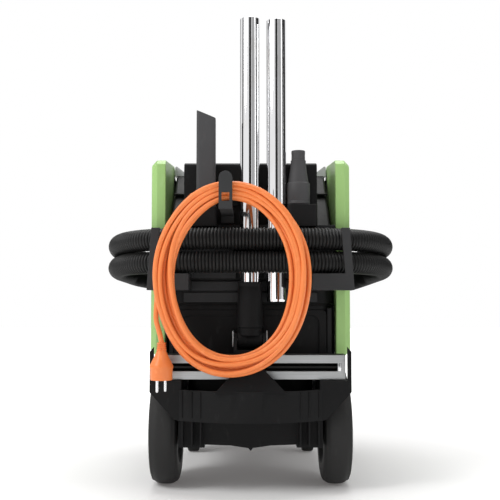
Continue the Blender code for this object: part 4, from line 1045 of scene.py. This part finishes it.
def on_panel(x, along, out):
    """A point of the control panel: across, up its slope, and out of its face."""
    return Vector((x, 0, 0)) + SLOPE_FOOT + SLOPE_UP * along + SLOPE_OUT * (PANEL_FACE + out)


def tick(name, middle, angle, inner, outer, wide, material):
    """A printed line of a dial's scale, standing a hair proud of the panel."""
    shape = bmesh.new()
    across = Vector((1, 0, 0))
    way = SLOPE_UP * math.cos(angle) + across * math.sin(angle)
    beside = SLOPE_UP * -math.sin(angle) + across * math.cos(angle)
    corners = ((-1, 0), (1, 0), (1, 1), (-1, 1))
    section = [beside * (wide / 2 * a) + SLOPE_OUT * (TICK_THICK * b) for a, b in corners]
    skin(shape, [[middle + way * reach + corner for corner in section] for reach in (inner, outer)])
    return riding(piece(name, shape, material), "head", "light_grey_plastic")


eased_edges("control_panel", 0.0012, rack_grey)
eased_edges("power_socket", 0.0006, grey)
eased_edges("socket_lid", 0.0014, grey, 3)
eased_edges("clean_button", 0.0014, green, 3)
eased_edges("power_switch", 0.0010, black, 2, 25)
eased_edges("suction_dial", 0.0010, black, 2, 25)
eased_edges("exhaust_grille", 0.0006, black)
for name, x, along, reach, count, spread in (
    ("dial", 0.0, 0.070, 0.0175, 11, 135), ("switch", -0.085, 0.057, 0.0225, 3, 60),
):
    middle = on_panel(x, along, 0.0)
    for k in range(count):
        angle = math.radians(-spread + 2 * spread * k / (count - 1))
        tick(f"{name}_mark_{k}", middle, angle, reach, reach + 0.0030, 0.0004 + 0.00008 * k, lid_grey)


# ---- latches ------------------------------------------------------------------------
# Two grey side clips that swing on the head's lugs and snap under the tank's.
for side in ("left", "right"):
    eased_edges(f"latch_{side}", 0.0010, rack_grey)


# ---- inside the head ----------------------------------------------------------------
# What the head holds: the motor in its sealed cup with its impeller, two pleated
# filters under their shaker, the circuit board, and the float below the throat.
def pleated_paper():
    """Cellulose filter paper, its fibres just showing, greyed by fine dust."""
    finish = Finish("filter_paper", {"Specular IOR Level": 0.2})
    fibre = finish.noise(1500.0, 4.0, (1, 0.2, 1))
    dust = finish.noise(20.0, 4.0).within(0.4, 0.8)
    colour = finish.mixed(fibre, (0.66, 0.63, 0.54, 1), (0.78, 0.76, 0.68, 1))
    colour = finish.mixed(dust * 0.4, colour, (0.40, 0.37, 0.32, 1))
    return finish.wear(colour, 0.85 + 0.1 * fibre, fibre, 0.0002)


def varnished_board():
    """Green solder varnish over copper tracks."""
    finish = Finish("varnished_board", {"Specular IOR Level": 0.5})
    track = finish.noise(220.0, 0.0, (1, 4, 1)).within(0.50, 0.54)
    colour = finish.mixed(track, (0.020, 0.130, 0.050, 1), (0.045, 0.230, 0.085, 1))
    return finish.wear(colour, 0.30 + 0.1 * track, track, 0.00008)


paper = pleated_paper()
float_plastic = moulded("float_plastic", (0.54, 0.54, 0.52), (0.62, 0.62, 0.60), 0.4, 0.05)
for node, edge, finish in (
    ("filter_left", 0.0004, paper),
    ("filter_right", 0.0004, paper),
    ("motor_housing", 0.0010, grey),
    ("motor", 0.0008, zinc),
    ("impeller", 0.0005, brushed("spun_impeller", (1, 1, 0.1))),
    ("filter_shaker", 0.0010, grey),
    ("circuit_board", 0.0002, varnished_board()),
    ("float_cage", 0.0006, grey),
    ("float_ball", 0.0004, float_plastic),
):
    eased_edges(node, edge, finish)
